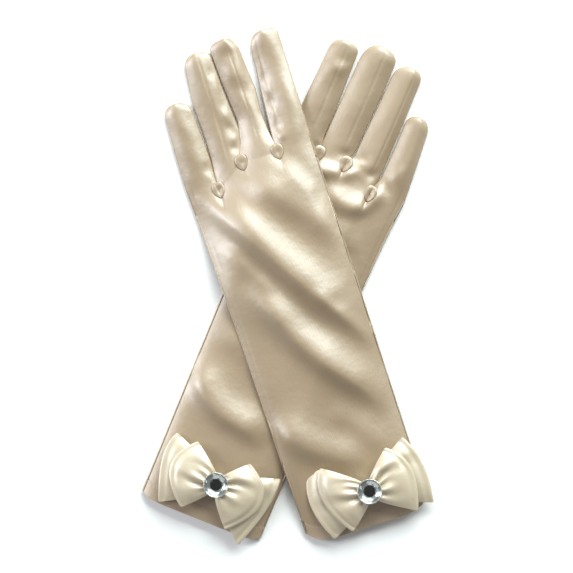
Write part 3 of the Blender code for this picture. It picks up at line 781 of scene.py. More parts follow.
def finger_rows(glove, name, cloth):
    """Distances along a finger from the foot of its root line, the half widths there, and the roundings.

    The widths and the roundings come in pairs: the little-finger side, then the thumb side.
    """
    laid = glove.fingers[name]
    straight_rows = FINGER_ROWS - TIP_ROWS
    corners = glove.root_corners()
    k = FINGERS.index(name)
    root = (corners[k] + corners[k + 1]) / 2
    _, start = laid.seen_from(*glove.world(*root))
    shape = SHAPES[glove.name][name]
    rounding = laid.half * 0.95
    length = laid.reach - start + shape.longer * MM
    along = [mix(0.0, length - rounding, (r / straight_rows) ** 1.15) for r in range(straight_rows + 1)]
    for r in range(1, TIP_ROWS + 1):
        along.append(length - rounding + rounding * sin(pi / 2 * 0.97 * r / TIP_ROWS))
    along = np.array(along)
    beyond = np.clip((along - (length - rounding)) / rounding, 0, 1)
    widths, round_offs = [], []
    for side, shares, corner in (
        (-1, shape.little, shape.little_corner),
        (1, shape.thumb, shape.thumb_corner),
    ):
        half = laid.half * np.interp(along / length, (0.0, 0.5, 1.0), shares)
        round_offs.append((1 - beyond**corner) ** (1 / 2.3))
        neighbour = k + side
        if 0 <= neighbour < len(FINGERS):
            other = glove.fingers[FINGERS[neighbour]]
            apart, _ = other.seen_from(*laid.plan(np.zeros_like(along), along + start))
            between = BOUNDARIES[glove.name][min(k, neighbour)]
            share = np.interp(along / length, np.linspace(0, 1, len(between)), between)
            share = share if side > 0 else 1 - share
            half = np.minimum(half, np.abs(apart) * share - cloth.finger_gap / 2)
        widths.append(half)
    return along, start, widths, round_offs


Hand = namedtuple("Hand", "x y uv low top palm top_at palm_at edges")


def lay_hand(glove, skin):
    """Adds the sleeve and the hand: the layer on top, the palm, and the fold round each edge."""
    cloth = bpy.context.scene.glove_cloth
    n = SECTOR_COLUMNS
    columns = 4 * n
    rows_t, rows_y = plan_rows(glove, cloth)
    x, y = glove.world(rows_t, rows_y)
    lift = glove.thumb_rise(x, y)
    low = glove.bed(x, y) + cloth.under
    edge_t0, edge_t1 = rows_t[:, :1], rows_t[:, -1:]
    # places across, from -1 to 1: over the whole hand, and over the finger that each column leads to
    q_plan = (2 * rows_t - edge_t0 - edge_t1) / (edge_t1 - edge_t0)
    q_finger = (np.arange(columns + 1) % n) / n * 2 - 1
    near = ease(1 - (rows_y[-1] - rows_y) / cloth.root_ease)
    hand_section = cloth.loft * (1 - np.abs(q_plan) ** 6)
    finger_section = (
        cloth.finger_loft * (1 - 0.5 * np.abs(q_finger) ** 2.4) * (1 - np.abs(q_plan) ** 8)
    )
    section = mix(hand_section, finger_section, near)
    calm = mix(1 - np.abs(q_plan) ** 8, 1 - np.abs(q_finger) ** 6, near)
    calm = calm * ease(rows_y / 0.012 + 0.35)
    folds = relief(glove.folds, glove.dents, rows_t, rows_y) * cloth.fold_share
    folds += HAND_RIPPLE * ripples(rows_t, rows_y, 3 if glove.side > 0 else 4)
    folds -= cloth.seam_depth * bump_of((rows_t - edge_t0 - SEAM_INSET) / cloth.seam_spread)
    hem_line = rows_y - rows_y[0] - cloth.hem_width
    folds -= cloth.seam_depth * 1.2 * bump_of(hem_line / cloth.seam_spread)
    raised = low + cloth.edge + section + THUMB_SHOWS * lift + folds * calm
    top = np.maximum(raised, low + lift + 0.0009)
    palm = low + lift * (1 - np.abs(q_plan) ** 8)
    uv = np.stack([rows_t, rows_y], -1)
    top_at, palm_at = skin.add(x, y, top, uv), skin.add(x, y, palm, uv)
    edges = {}
    for side, column in ((-1, 0), (1, columns)):
        ring = []
        for step in range(1, SIDE_STEPS):
            angle = pi * step / SIDE_STEPS
            out = side * cloth.edge_roll * sin(angle)
            z = mix(palm[:, column], top[:, column], (1 + cos(angle)) / 2)
            place = glove.world(rows_t[:, column] + out, rows_y[:, column])
            ring.append(skin.add(*place, z, uv[:, column] + (out, 0)))
        edges[side] = [top_at[:, column], *ring, palm_at[:, column]]

    name = glove.name
    above_hem = HEM_ROWS + 40
    seam_column = int(np.argmin(np.abs(rows_t[above_hem] - rows_t[above_hem, 0] - SEAM_INSET)))
    for r in range(HEM_ROWS + HAND_ROWS):
        back, palm_piece = f"{name}_back", f"{name}_palm"
        if r < HEM_ROWS:
            back = palm_piece = f"{name}_cuff_hem"
        for c in range(columns):
            skin.face(back if c >= seam_column else palm_piece, upward(top_at, r, c))
            skin.face(palm_piece, downward(palm_at, r, c))
        for side, ring in edges.items():
            for a, b in zip(ring, ring[1:]):
                piece = palm_piece if side < 0 or a is not ring[0] else back
                skin.face(piece, sideways(a, b, r, side))
    return Hand(x, y, uv, low, top, palm, top_at, palm_at, edges)


def crotch_rings(skin, hand):
    """The walls at the feet of the three gaps, each as points from the top layer to the palm."""
    rings = []
    for c in range(SECTOR_COLUMNS, 4 * SECTOR_COLUMNS, SECTOR_COLUMNS):
        middle = []
        for step in range(1, SIDE_STEPS):
            share = (1 - cos(pi * step / SIDE_STEPS)) / 2
            z = mix(hand.top[-1, c], hand.palm[-1, c], share)
            middle.append(int(skin.add(hand.x[-1, c], hand.y[-1, c], z, hand.uv[-1, c])))
        rings.append([hand.top_at[-1, c], *middle, hand.palm_at[-1, c]])
    return rings


def finger_heights(glove, k, hand, place, along, q, width, fullness):
    """Heights of a finger's top layer and its palm side; their first rows are the hand's last ones."""
    cloth = bpy.context.scene.glove_cloth
    root = slice(k * SECTOR_COLUMNS, (k + 1) * SECTOR_COLUMNS + 1)
    t, y = glove.flat(*place)
    bed = glove.bed(*place) + cloth.under
    lift = glove.thumb_rise(*place)
    settled = ease(along / 0.02)[:, None]
    ridge = 0.10 if glove.side > 0 else -0.14  # where across the finger is highest
    lean = np.where(q > ridge, (q - ridge) / (1 - ridge), (q - ridge) / (1 + ridge))
    loft = mix(1 - np.abs(q) ** 2.4, 1 - np.abs(lean) ** 2.0, settled)
    inside = 1 - np.abs(q) ** 6
    folds = relief(glove.folds, glove.dents, t, y) * cloth.fold_share
    folds *= mix(1.0, 0.6, settled)
    folds *= inside
    detail = folds + FINGER_RIPPLE * ripples(t * 1.7, y * 1.1, 7 + k + 5 * (glove.side > 0))
    before_tip = ease((along[-1] - along) / 0.012)[:, None]
    for seam in finger_seams(glove, k):
        if abs(seam) < 0.8:
            groove = bump_of((q - seam) * width[:, None] / cloth.seam_spread)
            detail -= 0.8 * cloth.seam_depth * groove * settled * before_tip
    detail *= inside
    at_root = (hand.top - hand.low)[-1, root] + folds - folds[:1]
    own = (cloth.edge + cloth.finger_loft * loft + detail) * mix(0.25, 1.0, fullness[:, None])
    top = bed + mix(at_root, own + THUMB_SHOWS * lift, ease(along / 0.016)[:, None])
    palm = bed + mix((hand.palm - hand.low)[-1, root], lift, settled)
    top = np.maximum(top, palm + 0.0006)
    top[0], palm[0] = hand.top[-1, root], hand.palm[-1, root]
    return top, palm


def finger_seams(glove, k):
    """Where the seams beside a finger's back lie, moved to the nearest columns."""
    n = SECTOR_COLUMNS
    return [round((seam + 1) / 2 * n) / n * 2 - 1 for seam in SEAMS[glove.name][FINGERS[k]]]


def lay_finger(glove, skin, hand, k, crotches):
    """Adds one finger, from the hand's last row to its tip."""
    cloth = bpy.context.scene.glove_cloth
    n, finger = SECTOR_COLUMNS, FINGERS[k]
    laid, root = glove.fingers[finger], slice(k * n, (k + 1) * n + 1)
    along, start, halves, round_offs = finger_rows(glove, finger, cloth)
    q = np.linspace(-1, 1, n + 1)
    roll = cloth.edge_roll * ease(along / 0.008)
    inner = [np.maximum(half * off - roll, 0.0004) for half, off in zip(halves, round_offs)]
    across = np.where(q < 0, q * inner[0][:, None], q * inner[1][:, None])
    own = laid.plan(across, along[:, None] + start)
    blend = ease(along / 0.014)[:, None]
    x, y = (
        mix(line[-1, root] + step * along[:, None], settled, blend)
        for line, step, settled in zip((hand.x, hand.y), laid.along, own)
    )
    fullness = ((round_offs[0] + round_offs[1]) / 2) ** 0.6
    top, palm = finger_heights(glove, k, hand, (x, y), along, q, (inner[0] + inner[1]) / 2, fullness)
    uv = np.stack(glove.flat(x, y), -1)
    top_at = np.vstack([hand.top_at[-1, root], skin.add(x[1:], y[1:], top[1:], uv[1:])])
    palm_at = np.vstack([hand.palm_at[-1, root], skin.add(x[1:], y[1:], palm[1:], uv[1:])])
    rings = {}
    for side, column in ((-1, 0), (1, n)):
        outer = k == (0 if side < 0 else len(FINGERS) - 1)
        first = [line[-1] for line in hand.edges[side]] if outer else crotches[k - 1 if side < 0 else k]
        reach = np.full_like(roll, cloth.edge_roll) if outer else roll
        ring = [top_at[:, column]]
        for step in range(1, SIDE_STEPS):
            angle = pi * step / SIDE_STEPS
            out = side * reach[1:] * sin(angle)
            z = mix(palm[1:, column], top[1:, column], (1 + cos(angle)) / 2)
            place = (x[1:, column] + laid.across[0] * out, y[1:, column] + laid.across[1] * out)
            ring.append(np.concatenate([[first[step]], skin.add(*place, z, uv[1:, column])]))
        rings[side] = [*ring, palm_at[:, column]]

    back, front = (f"{glove.name}_{finger}_finger_{part}" for part in ("back", "front"))
    strips = {
        -1: f"{glove.name}_{finger}_fourchette_little_side" if k > 0 else front,
        1: f"{glove.name}_{finger}_fourchette_thumb_side" if k < len(FINGERS) - 1 else front,
    }
    little_seam, thumb_seam = finger_seams(glove, k)
    middles = (q[1:] + q[:-1]) / 2
    upper = [strips[-1] if m < little_seam else strips[1] if m > thumb_seam else back for m in middles]
    rows = len(along) - 1
    for r in range(rows):
        at_tip = r >= rows - TIP_ROWS + 2
        for c in range(n):
            skin.face(back if at_tip else upper[c], upward(top_at, r, c))
            skin.face(front, downward(palm_at, r, c))
        for side, ring in rings.items():
            for step, (a, b) in enumerate(zip(ring, ring[1:])):
                tip_piece = back if step < SIDE_STEPS / 2 else front
                skin.face(tip_piece if at_tip else strips[side], sideways(a, b, r, side))
    for c in range(n):
        skin.face(back, (top_at[-1, c], top_at[-1, c + 1], palm_at[-1, c + 1], palm_at[-1, c]))


def build_skin(glove):
    """The whole glove's skin, with its faces sorted into pieces."""
    skin = Skin(glove.side)
    hand = lay_hand(glove, skin)
    crotches = crotch_rings(skin, hand)
    for k in range(len(FINGERS)):
        lay_finger(glove, skin, hand, k, crotches)
    skin.close()
    return skin


def make_object(name, points, faces, material, uvs=None, normals=None, smooth=True):
    """A mesh object in the pair's frame. normals, if given, are one for each corner of each face."""
    mesh = bpy.data.meshes.new(f"{name}_made")
    mesh.from_pydata(np.asarray(points).tolist(), [], [list(face) for face in faces])
    mesh.polygons.foreach_set("use_smooth", [smooth] * len(mesh.polygons))
    if uvs is not None:
        layer = mesh.uv_layers.new(name="cloth")
        corner = np.zeros(len(mesh.loops), np.int32)
        mesh.loops.foreach_get("vertex_index", corner)
        layer.data.foreach_set("uv", np.asarray(uvs)[corner].astype(np.float32).ravel())
    mesh.materials.append(material)
    mesh.update()
    if normals is not None:
        mesh.normals_split_custom_set(np.asarray(normals).tolist())
    made = bpy.data.objects.new(f"{name}_made", mesh)
    bpy.context.scene.collection.objects.link(made)
    return made


def shell(name, points, normals, uvs, faces, thickness, material):
    """A closed thin shell: the outer faces given, the same faces inside, and walls round every border."""
    faces = np.asarray(faces)
    used, flat = np.unique(faces, return_inverse=True)
    faces = flat.reshape(faces.shape)
    outer, normal, uv = points[used], normals[used], uvs[used]
    inner = outer - normal * thickness
    inner[:, 2] = np.maximum(inner[:, 2], 0.0)  # no layer goes into the floor
    count = len(used)
    edges = {}
    for quad in faces.tolist():
        ring = [a for a, b in zip(quad, quad[1:] + quad[:1]) if a != b]
        for a, b in zip(ring, ring[1:] + ring[:1]):
            edges[(a, b)] = edges.get((a, b), 0) + 1
    border = [(a, b) for a, b in edges if (b, a) not in edges]
    all_faces, corners = [], []
    for quad in faces.tolist():
        ring = [a for a, b in zip(quad, quad[1:] + quad[:1]) if a != b]
        all_faces.append(ring)
        corners += [normal[v] for v in ring]
    for quad in list(all_faces):
        ring = [v + count for v in reversed(quad)]
        all_faces.append(ring)
        corners += [-normal[v - count] for v in ring]
    both = np.vstack([outer, inner])
    for a, b in border:
        wall = (b, a, a + count, b + count)
        across = np.cross(both[a] - both[b], both[a + count] - both[a])
        size_of = np.linalg.norm(across)
        across = across / size_of if size_of > 0 else normal[a]
        all_faces.append(wall)
        corners += [across] * 4
    return make_object(name, both, all_faces, material, np.vstack([uv, uv]), corners)


def skin_area(points, faces):
    """Area of one layer of quads."""
    quads = points[np.asarray(faces)]
    diagonals = np.cross(quads[:, 2] - quads[:, 0], quads[:, 3] - quads[:, 1])
    return float(np.linalg.norm(diagonals, axis=1).sum() / 2)


def span(points, across, up):
    """Width and length of points in the plan, along two directions."""
    over, along = points[:, :2] @ across, points[:, :2] @ up
    return float(over.max() - over.min()), float(along.max() - along.min())


def declare_sheet(points, faces, across, up):
    """Works out how large the piece's cloth was cut, its own layer laid out flat, and does nothing with the
    result.
    """
    width, length = span(points[np.unique(faces)], across, up)
    area = skin_area(points, faces)
    width = max(width, area / length * 1.002, SMALLEST_SHEET)
    length = max(length, SMALLEST_SHEET)


_skins = {}


def skin_of(name):
    if name not in _skins:
        _skins[name] = build_skin(glove_of(name))
    return _skins[name]


def cut_piece(glove, piece, thickness):
    """Cuts one piece out of the glove's skin."""
    skin = skin_of(glove.name)
    need(skin.faces.get(piece), f"{piece} has no faces")
    satin = finish_of("champagne_woven_satin")
    return shell(piece, skin.points, skin.normals, skin.uvs, skin.faces[piece], thickness, satin)


def settle(made, glove, slot, *nodes):
    """Attaches a piece to the body it moves with and hides the CAD nodes it stands for."""
    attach(made, glove.body)
    for node in nodes:
        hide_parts(node)


def turn_up(points, normals, faces, spot, face):
    """Turns the normals and the faces so that those at one spot on top point upwards."""
    if normals[spot][2] < 0:
        normals = -normals
    a, b, c, _ = points[faces[face]]
    if np.cross(b - a, c - b)[2] < 0:
        faces = faces[:, ::-1]
    return normals.reshape(-1, 3), faces


def need(condition, message):
    if not condition:
        raise RuntimeError(message)


class GLOVES_OT_panels(Operator):
    """Cuts each glove's back, palm and turned hem"""

    bl_idname = "gloves.panels"
    bl_label = "Sleeves and hands"

    def execute(self, context):
        cloth = context.scene.glove_cloth
        for name in ("right", "left"):
            glove = glove_of(name)
            for part, thickness in (("back", cloth.ply), ("palm", cloth.ply), ("cuff_hem", cloth.hem_ply)):
                piece = f"{name}_{part}"
                made = cut_piece(glove, piece, thickness)
                settle(made, glove, "champagne_satin", piece)
                faces = skin_of(name).faces[piece]
                declare_sheet(skin_of(name).points, faces, glove.across, glove.up)
        return {"FINISHED"}


class GLOVES_OT_fingers(Operator):
    """Cuts the backs, fronts and side strips of the fingers"""

    bl_idname = "gloves.fingers"
    bl_label = "Fingers"

    def execute(self, context):
        cloth = context.scene.glove_cloth
        for name in ("right", "left"):
            glove = glove_of(name)
            skin = skin_of(name)
            for finger in FINGERS:
                laid = glove.fingers[finger]
                prefix = f"{name}_{finger}_"
                for piece in sorted(p for p in skin.faces if p.startswith(prefix)):
                    made = cut_piece(glove, piece, cloth.ply)
                    low, high = blend_range(glove, laid)
                    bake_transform(made)
                    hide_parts(piece)
                    lower = f"{piece}_lower"
                    if lower in frame["nodes"]:
                        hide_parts(lower)
                    faces, rests = skin.faces[piece], [f"{name}_palm"]
                    declare_sheet(skin.points, faces, laid.across, laid.along)
        return {"FINISHED"}


def blend_range(glove, laid):
    """Two points on a finger's middle line, a knuckle's run apart, either side of its hinge line."""
    corners = [glove.world(*corner) for corner in glove.root_corners()]
    k = FINGERS.index(laid.name)
    feet = [laid.seen_from(*corner)[1] for corner in corners[k : k + 2]]
    start = max(max(feet) + 0.0003, -0.005)
    end = start + KNUCKLE_RUN
    points = []
    for along in (start, end):
        px, py = laid.plan(0.0, along)
        points.append((px, py, laid.hinge[2]))
    return points


class GLOVES_OT_gussets(Operator):
    """Makes the small rounded gussets at the feet of the gaps between fingers"""

    bl_idname = "gloves.gussets"
    bl_label = "Gussets"

    def execute(self, context):
        for name in ("right", "left"):
            glove = glove_of(name)
            skin = skin_of(name)
            for little_side, thumb_side in zip(FINGERS, FINGERS[1:]):
                piece = f"{name}_{thumb_side}_{little_side}_quirk"
                made, points, faces = gusset(glove, skin, piece, glove.crotch(little_side, thumb_side))
                settle(made, glove, "champagne_satin", piece)
                declare_sheet(points, faces, glove.across, glove.up)
        return {"FINISHED"}


def skin_height(glove, skin, x, y):
    """Height of the back at places near a crotch, from the nearest points of the skin."""
    faces = np.unique(np.asarray(skin.faces[f"{glove.name}_back"]))
    cloud = skin.points[faces]
    heights = []
    for px, py in zip(x.ravel(), y.ravel()):
        away = np.hypot(cloud[:, 0] - px, cloud[:, 1] - py)
        near = np.argsort(away)[:6]
        weight = 1 / (away[near] + 1e-5) ** 2
        heights.append((cloud[near, 2] * weight).sum() / weight.sum())
    return np.array(heights).reshape(x.shape)


def gusset(glove, skin, piece, crotch):
    """A small puffed tongue of cloth, its foot round and its top open towards the gap."""
    rings, spokes = 9, 36
    radius = np.linspace(0, 1, rings + 1)[:, None]
    angle = np.linspace(0, 2 * pi, spokes, endpoint=False)[None, :]
    low_side = np.sin(angle) < 0
    taper = np.where(low_side, 1.45, 0.75)  # over 1 draws an end to a point, under 1 squares it
    t = crotch[0] + GUSSET_HALF * radius * np.sign(np.cos(angle)) * np.abs(np.cos(angle)) ** taper
    reach = np.where(low_side, GUSSET_FOOT, GUSSET_HEAD)
    y = crotch[1] + GUSSET_RISE + reach * radius * np.sin(angle)
    x, w = glove.world(t, y)
    base = skin_height(glove, skin, x, w)
    base = mix(base, base.max(), 0.25)
    z = base + GUSSET_DOME * (1 - radius**3.5) * np.ones_like(angle) + 0.0001
    points = np.stack([x, w, z], -1).reshape(-1, 3)
    uvs = np.stack([t, y], -1).reshape(-1, 2)
    faces = []
    for r in range(rings):
        for s in range(spokes):
            a, b = r * spokes + s, r * spokes + (s + 1) % spokes
            quad = (a, a + spokes, b + spokes, b) if glove.side > 0 else (a, b, b + spokes, a + spokes)
            faces.append([v if v >= spokes else 0 for v in quad])  # the innermost ring is one point
    count = len(points)
    upper = [list(dict.fromkeys(quad)) for quad in faces]
    lower = [[v + count for v in reversed(ring)] for ring in upper]
    rim = [rings * spokes + s for s in range(spokes)]
    walls = []
    for a, b in zip(rim, rim[1:] + rim[:1]):
        walls.append([a, a + count, b + count, b] if glove.side > 0 else [b, b + count, a + count, a])
    closed = upper + lower + walls
    used = sorted({v for ring in closed for v in ring})
    number = {v: k for k, v in enumerate(used)}
    both = np.vstack([points, points - (0, 0, GUSSET_PLY)])[used]
    both_uv = np.vstack([uvs, uvs])[used]
    renumbered = [[number[v] for v in ring] for ring in closed]
    made = make_object(piece, both, renumbered, finish_of("champagne_woven_satin"), both_uv)
    return made, points, np.array(faces)


class GLOVES_OT_thumbs(Operator):
    """Makes the thumbs, pressed flat and tucked under the palms"""

    bl_idname = "gloves.thumbs"
    bl_label = "Thumbs"

    def execute(self, context):
        for name in ("right", "left"):
            glove = glove_of(name)
            node = f"{name}_thumb"
            cad = points_of(node)
            t, y = glove.flat(cad[:, 0], cad[:, 1])
            made, points, faces = thumb(glove, node, t, y)
            settle(made, glove, "champagne_satin", node)
            declare_sheet(points, faces, glove.across, glove.up)
        return {"FINISHED"}


def thumb(glove, name, cad_t, cad_y):
    """A flattened sleeve with a rounded tip, as large as its CAD plate."""
    cloth = bpy.context.scene.glove_cloth
    foot = np.array([cad_t[cad_y < cad_y.min() + 0.012].mean(), cad_y.min() + 0.004])
    head = np.array([cad_t[cad_y > cad_y.max() - 0.003].mean(), cad_y.max()])
    along = (head - foot) / np.linalg.norm(head - foot)
    across = np.array([along[1], -along[0]])
    over = (cad_t - foot[0]) * across[0] + (cad_y - foot[1]) * across[1]
    far = (cad_t - foot[0]) * along[0] + (cad_y - foot[1]) * along[1]
    half, middle = (over.max() - over.min()) / 2, (over.max() + over.min()) / 2
    low, reach = far.min(), far.max() - far.min()
    rows, columns = 40, 16
    v = np.linspace(0, 1, rows + 1)
    straight = 1 - half / reach
    beyond = np.clip((v - straight) / (1 - straight), 0, 0.985)
    width = half * np.sqrt(1 - beyond**2)
    angle = np.linspace(0, 2 * pi, 2 * columns, endpoint=False)
    a = middle + width[:, None] * np.cos(angle) * 0.98
    b = (low + reach * v)[:, None] + 0 * angle
    t = foot[0] + across[0] * a + along[0] * b
    y = foot[1] + across[1] * a + along[1] * b
    x, w = glove.world(t, y)
    rounded = np.sign(np.sin(angle)) * np.abs(np.sin(angle)) ** 0.5
    thick = THUMB_HALF_HEIGHT * rounded * (width[:, None] / half) ** 0.4
    wave = 0.00012 * np.sin(b / 0.004) * (np.sin(angle) > 0)
    z = glove.bed(x, w) + THUMB_MIDDLE + thick + wave
    grid = np.stack([x, w, z], -1)
    points = grid.reshape(-1, 3)
    uvs = np.stack([t, y], -1).reshape(-1, 2)
    ring = 2 * columns
    round_it = np.roll(grid, -1, 1) - np.roll(grid, 1, 1)
    normal = np.cross(np.gradient(grid, axis=0), round_it)
    normal /= np.maximum(np.linalg.norm(normal, axis=-1, keepdims=True), 1e-12)
    faces = []
    for r in range(rows):
        for s in range(ring):
            p, q = r * ring + s, r * ring + (s + 1) % ring
            faces.append((p, q, q + ring, p + ring))
    tip = rows * ring
    for s in range(columns - 1):
        faces.append((tip + s, tip + s + 1, tip + ring - 2 - s, tip + ring - 1 - s))
    row, column = rows // 2, columns // 2
    normals, faces = turn_up(points, normal, np.array(faces), (row, column), row * ring + column)
    made = shell(name, points, normals, uvs, faces, cloth.ply, finish_of("champagne_woven_satin"))
    return made, points, faces


def bow_loop(centre, glove, ends, base, puff, settings, tilt):
    """One loop of a bow: a strip from the gathers out along the bottom, round the end and back on top."""
    upper, middle, lower = (np.array(point) * MM for point in ends)
    rows, columns, turn = BOW_ROWS, BOW_COLUMNS, BOW_TURN
    v = np.linspace(0, 1, columns + 1)
    control = 2 * middle - (upper + lower) / 2
    end = np.outer((1 - v) ** 2, lower) + np.outer(2 * v * (1 - v), control) + np.outer(v**2, upper)
    side = 1 if middle[0] > 0 else -1
    waist = np.stack([np.full_like(v, side * 0.0006), (2 * v - 1) * settings.waist], -1)
    radius = settings.fold_radius
    shares = [(k / rows, 0) for k in range(rows + 1)]
    shares += [(1.0, k / turn) for k in range(1, turn)]
    shares += [(1 - k / rows, 1) for k in range(rows + 1)]
    points, uvs = [], []
    run = 0.0
    for u, layer in shares:
        spread = u**0.8
        xs = mix(waist[:, 0], end[:, 0], u)
        ys = mix(waist[:, 1], end[:, 1], spread)
        edge = 1 - np.abs(2 * v - 1) ** 5
        swell = puff * sin(pi * min(u, 1.0) ** 0.75) ** 0.8 + 2 * radius * ease(u / 0.2)
        pleats = np.zeros_like(v)
        for place, depth, reach in BOW_PLEATS[side > 0]:
            fade = settings.pleat_share * ease(u / 0.10) * (1 - ease(u / (1.2 * reach)))
            wander = place + 0.03 * sin(5 * u + 9 * place)
            pleats += depth * MM * fade * bump_of((v - wander) / mix(0.045, 0.10, u))
            pleats -= 0.3 * depth * MM * fade * bump_of((v - wander - 0.11) / 0.06)
        soft = BOW_RIPPLE * ripples(np.full_like(v, u * 0.05), v * 0.05 + base, 21 if side > 0 else 22)
        crown = swell * mix(0.35, 1.0, edge) - pleats + soft * ease(u / 0.2)
        length = np.linalg.norm(end[columns // 2])
        rim_at = 1 - settings.rim / length
        rim = 0.0008 * bump_of((u - rim_at) * length / 0.0007)
        droop = tilt * (2 * v - 1) * u - BOW_DROOP * u**2
        lowest = base + droop + 0.0002
        highest = np.maximum(lowest + crown - rim, lowest + BOW_THINNEST)
        if layer in (0, 1):
            z = highest if layer else lowest
            xe, ye = xs, ys
        else:
            angle = pi * layer
            z = mix(lowest, highest, (1 - cos(angle)) / 2)
            xe, ye = xs + side * radius * sin(angle), ys
        wx, wy = glove.world(centre[0] + glove.side * xe, centre[1] + ye)
        points.append(np.stack([wx, wy, z * np.ones_like(v)], -1))
        uvs.append(np.stack([ys, np.full_like(v, run)], -1))
        run += length / rows
    return np.array(points), np.array(uvs)


def grid_faces(rows, columns):
    faces = []
    for r in range(rows - 1):
        for c in range(columns - 1):
            a = r * columns + c
            faces.append((a + columns, a + columns + 1, a + 1, a))
    return np.array(faces)


def grid_normals(points):
    """Normals of a grid of points, from its own slopes."""
    down = np.gradient(points, axis=0)
    over = np.gradient(points, axis=1)
    normal = np.cross(over, down)
    return normal / np.maximum(np.linalg.norm(normal, axis=-1, keepdims=True), 1e-12)


class GLOVES_OT_bows(Operator):
    """Folds the large and small bows, and wraps their gathers"""

    bl_idname = "gloves.bows"
    bl_label = "Bows"

    def execute(self, context):
        settings = context.scene.glove_bows
        satin = finish_of("ivory_woven_satin")
        for name in ("right", "left"):
            glove = glove_of(name)
            low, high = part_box(f"{name}_stone")
            centre = np.array(glove.flat((low.x + high.x) / 2, (low.y + high.y) / 2))
            for part, puff, lift in (
                ("large", settings.puff_large, LARGE_BOW_SINK),
                ("small", settings.puff_small, 0.0),
            ):
                node = f"{name}_{part}_bow"
                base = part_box(node)[0].z + lift
                made, points, faces = bow(glove, node, centre, base, puff, settings, satin)
                settle(made, glove, "ivory_satin", node)
                if part == "large":
                    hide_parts(f"{name}_bow_stitches")
                declare_sheet(points, faces, glove.across, glove.up)
            wrap(glove, centre, settings, satin)
        return {"FINISHED"}


def bow(glove, node, centre, base, puff, settings, satin):
    """Both loops of one bow as a closed shell of cloth."""
    side_name = node.replace("_bow", "")
    points, normals, uvs, faces = [], [], [], []
    first = 0
    for number, ends in enumerate(BOW_ENDS[side_name]):
        tilt = 0.0007 if number else -0.0005
        grid, uv = bow_loop(centre, glove, ends, base, puff, settings, tilt)
        rows, columns = grid.shape[:2]
        flat = grid.reshape(-1, 3)
        spot = (-rows // 3, columns // 2)
        face = (rows - 6) * (columns - 1) + columns // 2  # a cell on top, short of the gathers
        normal, loop = turn_up(flat, grid_normals(grid), grid_faces(rows, columns), spot, face)
        points.append(flat)
        normals.append(normal)
        uvs.append(uv.reshape(-1, 2))
        faces.append(loop + first)
        first += rows * columns
    points, normals, uvs, faces = (np.vstack(parts) for parts in (points, normals, uvs, faces))
    made = shell(node, points, normals, uvs, faces, settings.ply, satin)
    return made, points, faces


def wrap(glove, centre, settings, satin):
    """The band round the gathers, pleated lengthwise."""
    node = f"{glove.name}_bow_wrap"
    low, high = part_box(node)
    around, across = 48, 16
    angle = np.linspace(0, 2 * pi, around, endpoint=False)[:, None]
    v = np.linspace(-1, 1, across + 1)[None, :]
    middle, half = (low.z + high.z) / 2, (high.z - low.z) / 2
    reach = 0.0062 * np.sign(np.cos(angle)) * np.abs(np.cos(angle)) ** 0.6
    rise = half * np.sign(np.sin(angle)) * np.abs(np.sin(angle)) ** 0.6
    pinch = 1 - 0.10 * v**2 - 0.03 * np.cos(3 * pi * v)
    t = centre[0] + settings.wrap_width / 2 * v + 0 * angle
    y = centre[1] + reach * pinch
    z = middle + rise * pinch
    x, w = glove.world(t, y)
    grid = np.stack([x, w, z], -1)
    rows, columns = grid.shape[:2]
    points = grid.reshape(-1, 3)
    normal = np.cross(np.roll(grid, -1, 0) - np.roll(grid, 1, 0), np.gradient(grid, axis=1))
    normal /= np.linalg.norm(normal, axis=-1, keepdims=True)
    faces = []
    for r in range(rows):
        for c in range(columns - 1):
            a, b = r * columns + c, (r + 1) % rows * columns + c
            faces.append((a, a + 1, b + 1, b))
    row, column = around // 4, across // 2
    normals, faces = turn_up(points, normal, np.array(faces), (row, column), row * (columns - 1) + column)
    uvs = np.stack([t * np.ones_like(z), np.broadcast_to(angle * 0.006, z.shape)], -1).reshape(-1, 2)
    made = shell(node, points, normals, uvs, faces, settings.ply, satin)
    settle(made, glove, "ivory_satin", node)
    declare_sheet(points, faces, glove.across, glove.up)


def faceted(name, rings, centre, material):
    """A body of flat facets through rings of (count, radius, height, turn)."""
    points, faces, starts = [], [], []
    for count, radius, height, turn in rings:
        starts.append(len(points))
        for k in range(count):
            angle = 2 * pi * (k + turn) / count
            points.append((centre.x + radius * cos(angle), centre.y + radius * sin(angle), height))
    for (count_a, *_), (count_b, *_), a, b in zip(rings, rings[1:], starts, starts[1:]):
        faces += bridge(a, count_a, b, count_b, points)
    faces.append([starts[-1] + k for k in range(rings[-1][0])])
    faces.append([starts[0] + k for k in reversed(range(rings[0][0]))])
    return make_object(name, points, faces, material, smooth=False)


def bridge(a, count_a, b, count_b, points):
    """Triangles between two rings of points that go round the same way."""

    def angle_of(v):
        x, y = points[v][0] - mid_x, points[v][1] - mid_y
        return float(np.arctan2(y, x)) % (2 * pi)

    mid_x = sum(points[b + k][0] for k in range(count_b)) / count_b
    mid_y = sum(points[b + k][1] for k in range(count_b)) / count_b
    ring_a = sorted(range(a, a + count_a), key=angle_of)
    ring_b = sorted(range(b, b + count_b), key=angle_of)
    faces, i, j = [], 0, 0
    while i < count_a or j < count_b:
        next_a = angle_of(ring_a[i]) if i < count_a else 9.0
        next_b = angle_of(ring_b[j]) if j < count_b else 9.0
        last_a, last_b = ring_a[i - 1], ring_b[j - 1]
        if next_a < next_b:
            faces.append([last_a, ring_a[i], last_b])
            i += 1
        else:
            faces.append([last_b, last_a, ring_b[j]])
            j += 1
    return faces


class GLOVES_OT_stones(Operator):
    """Cuts the stones and sets them in their foil cups"""

    bl_idname = "gloves.stones"
    bl_label = "Stones"

    def execute(self, context):
        for name in ("right", "left"):
            glove = glove_of(name)
            stone_cup(glove)
            stone(glove, context.scene.glove_stones)
        return {"FINISHED"}


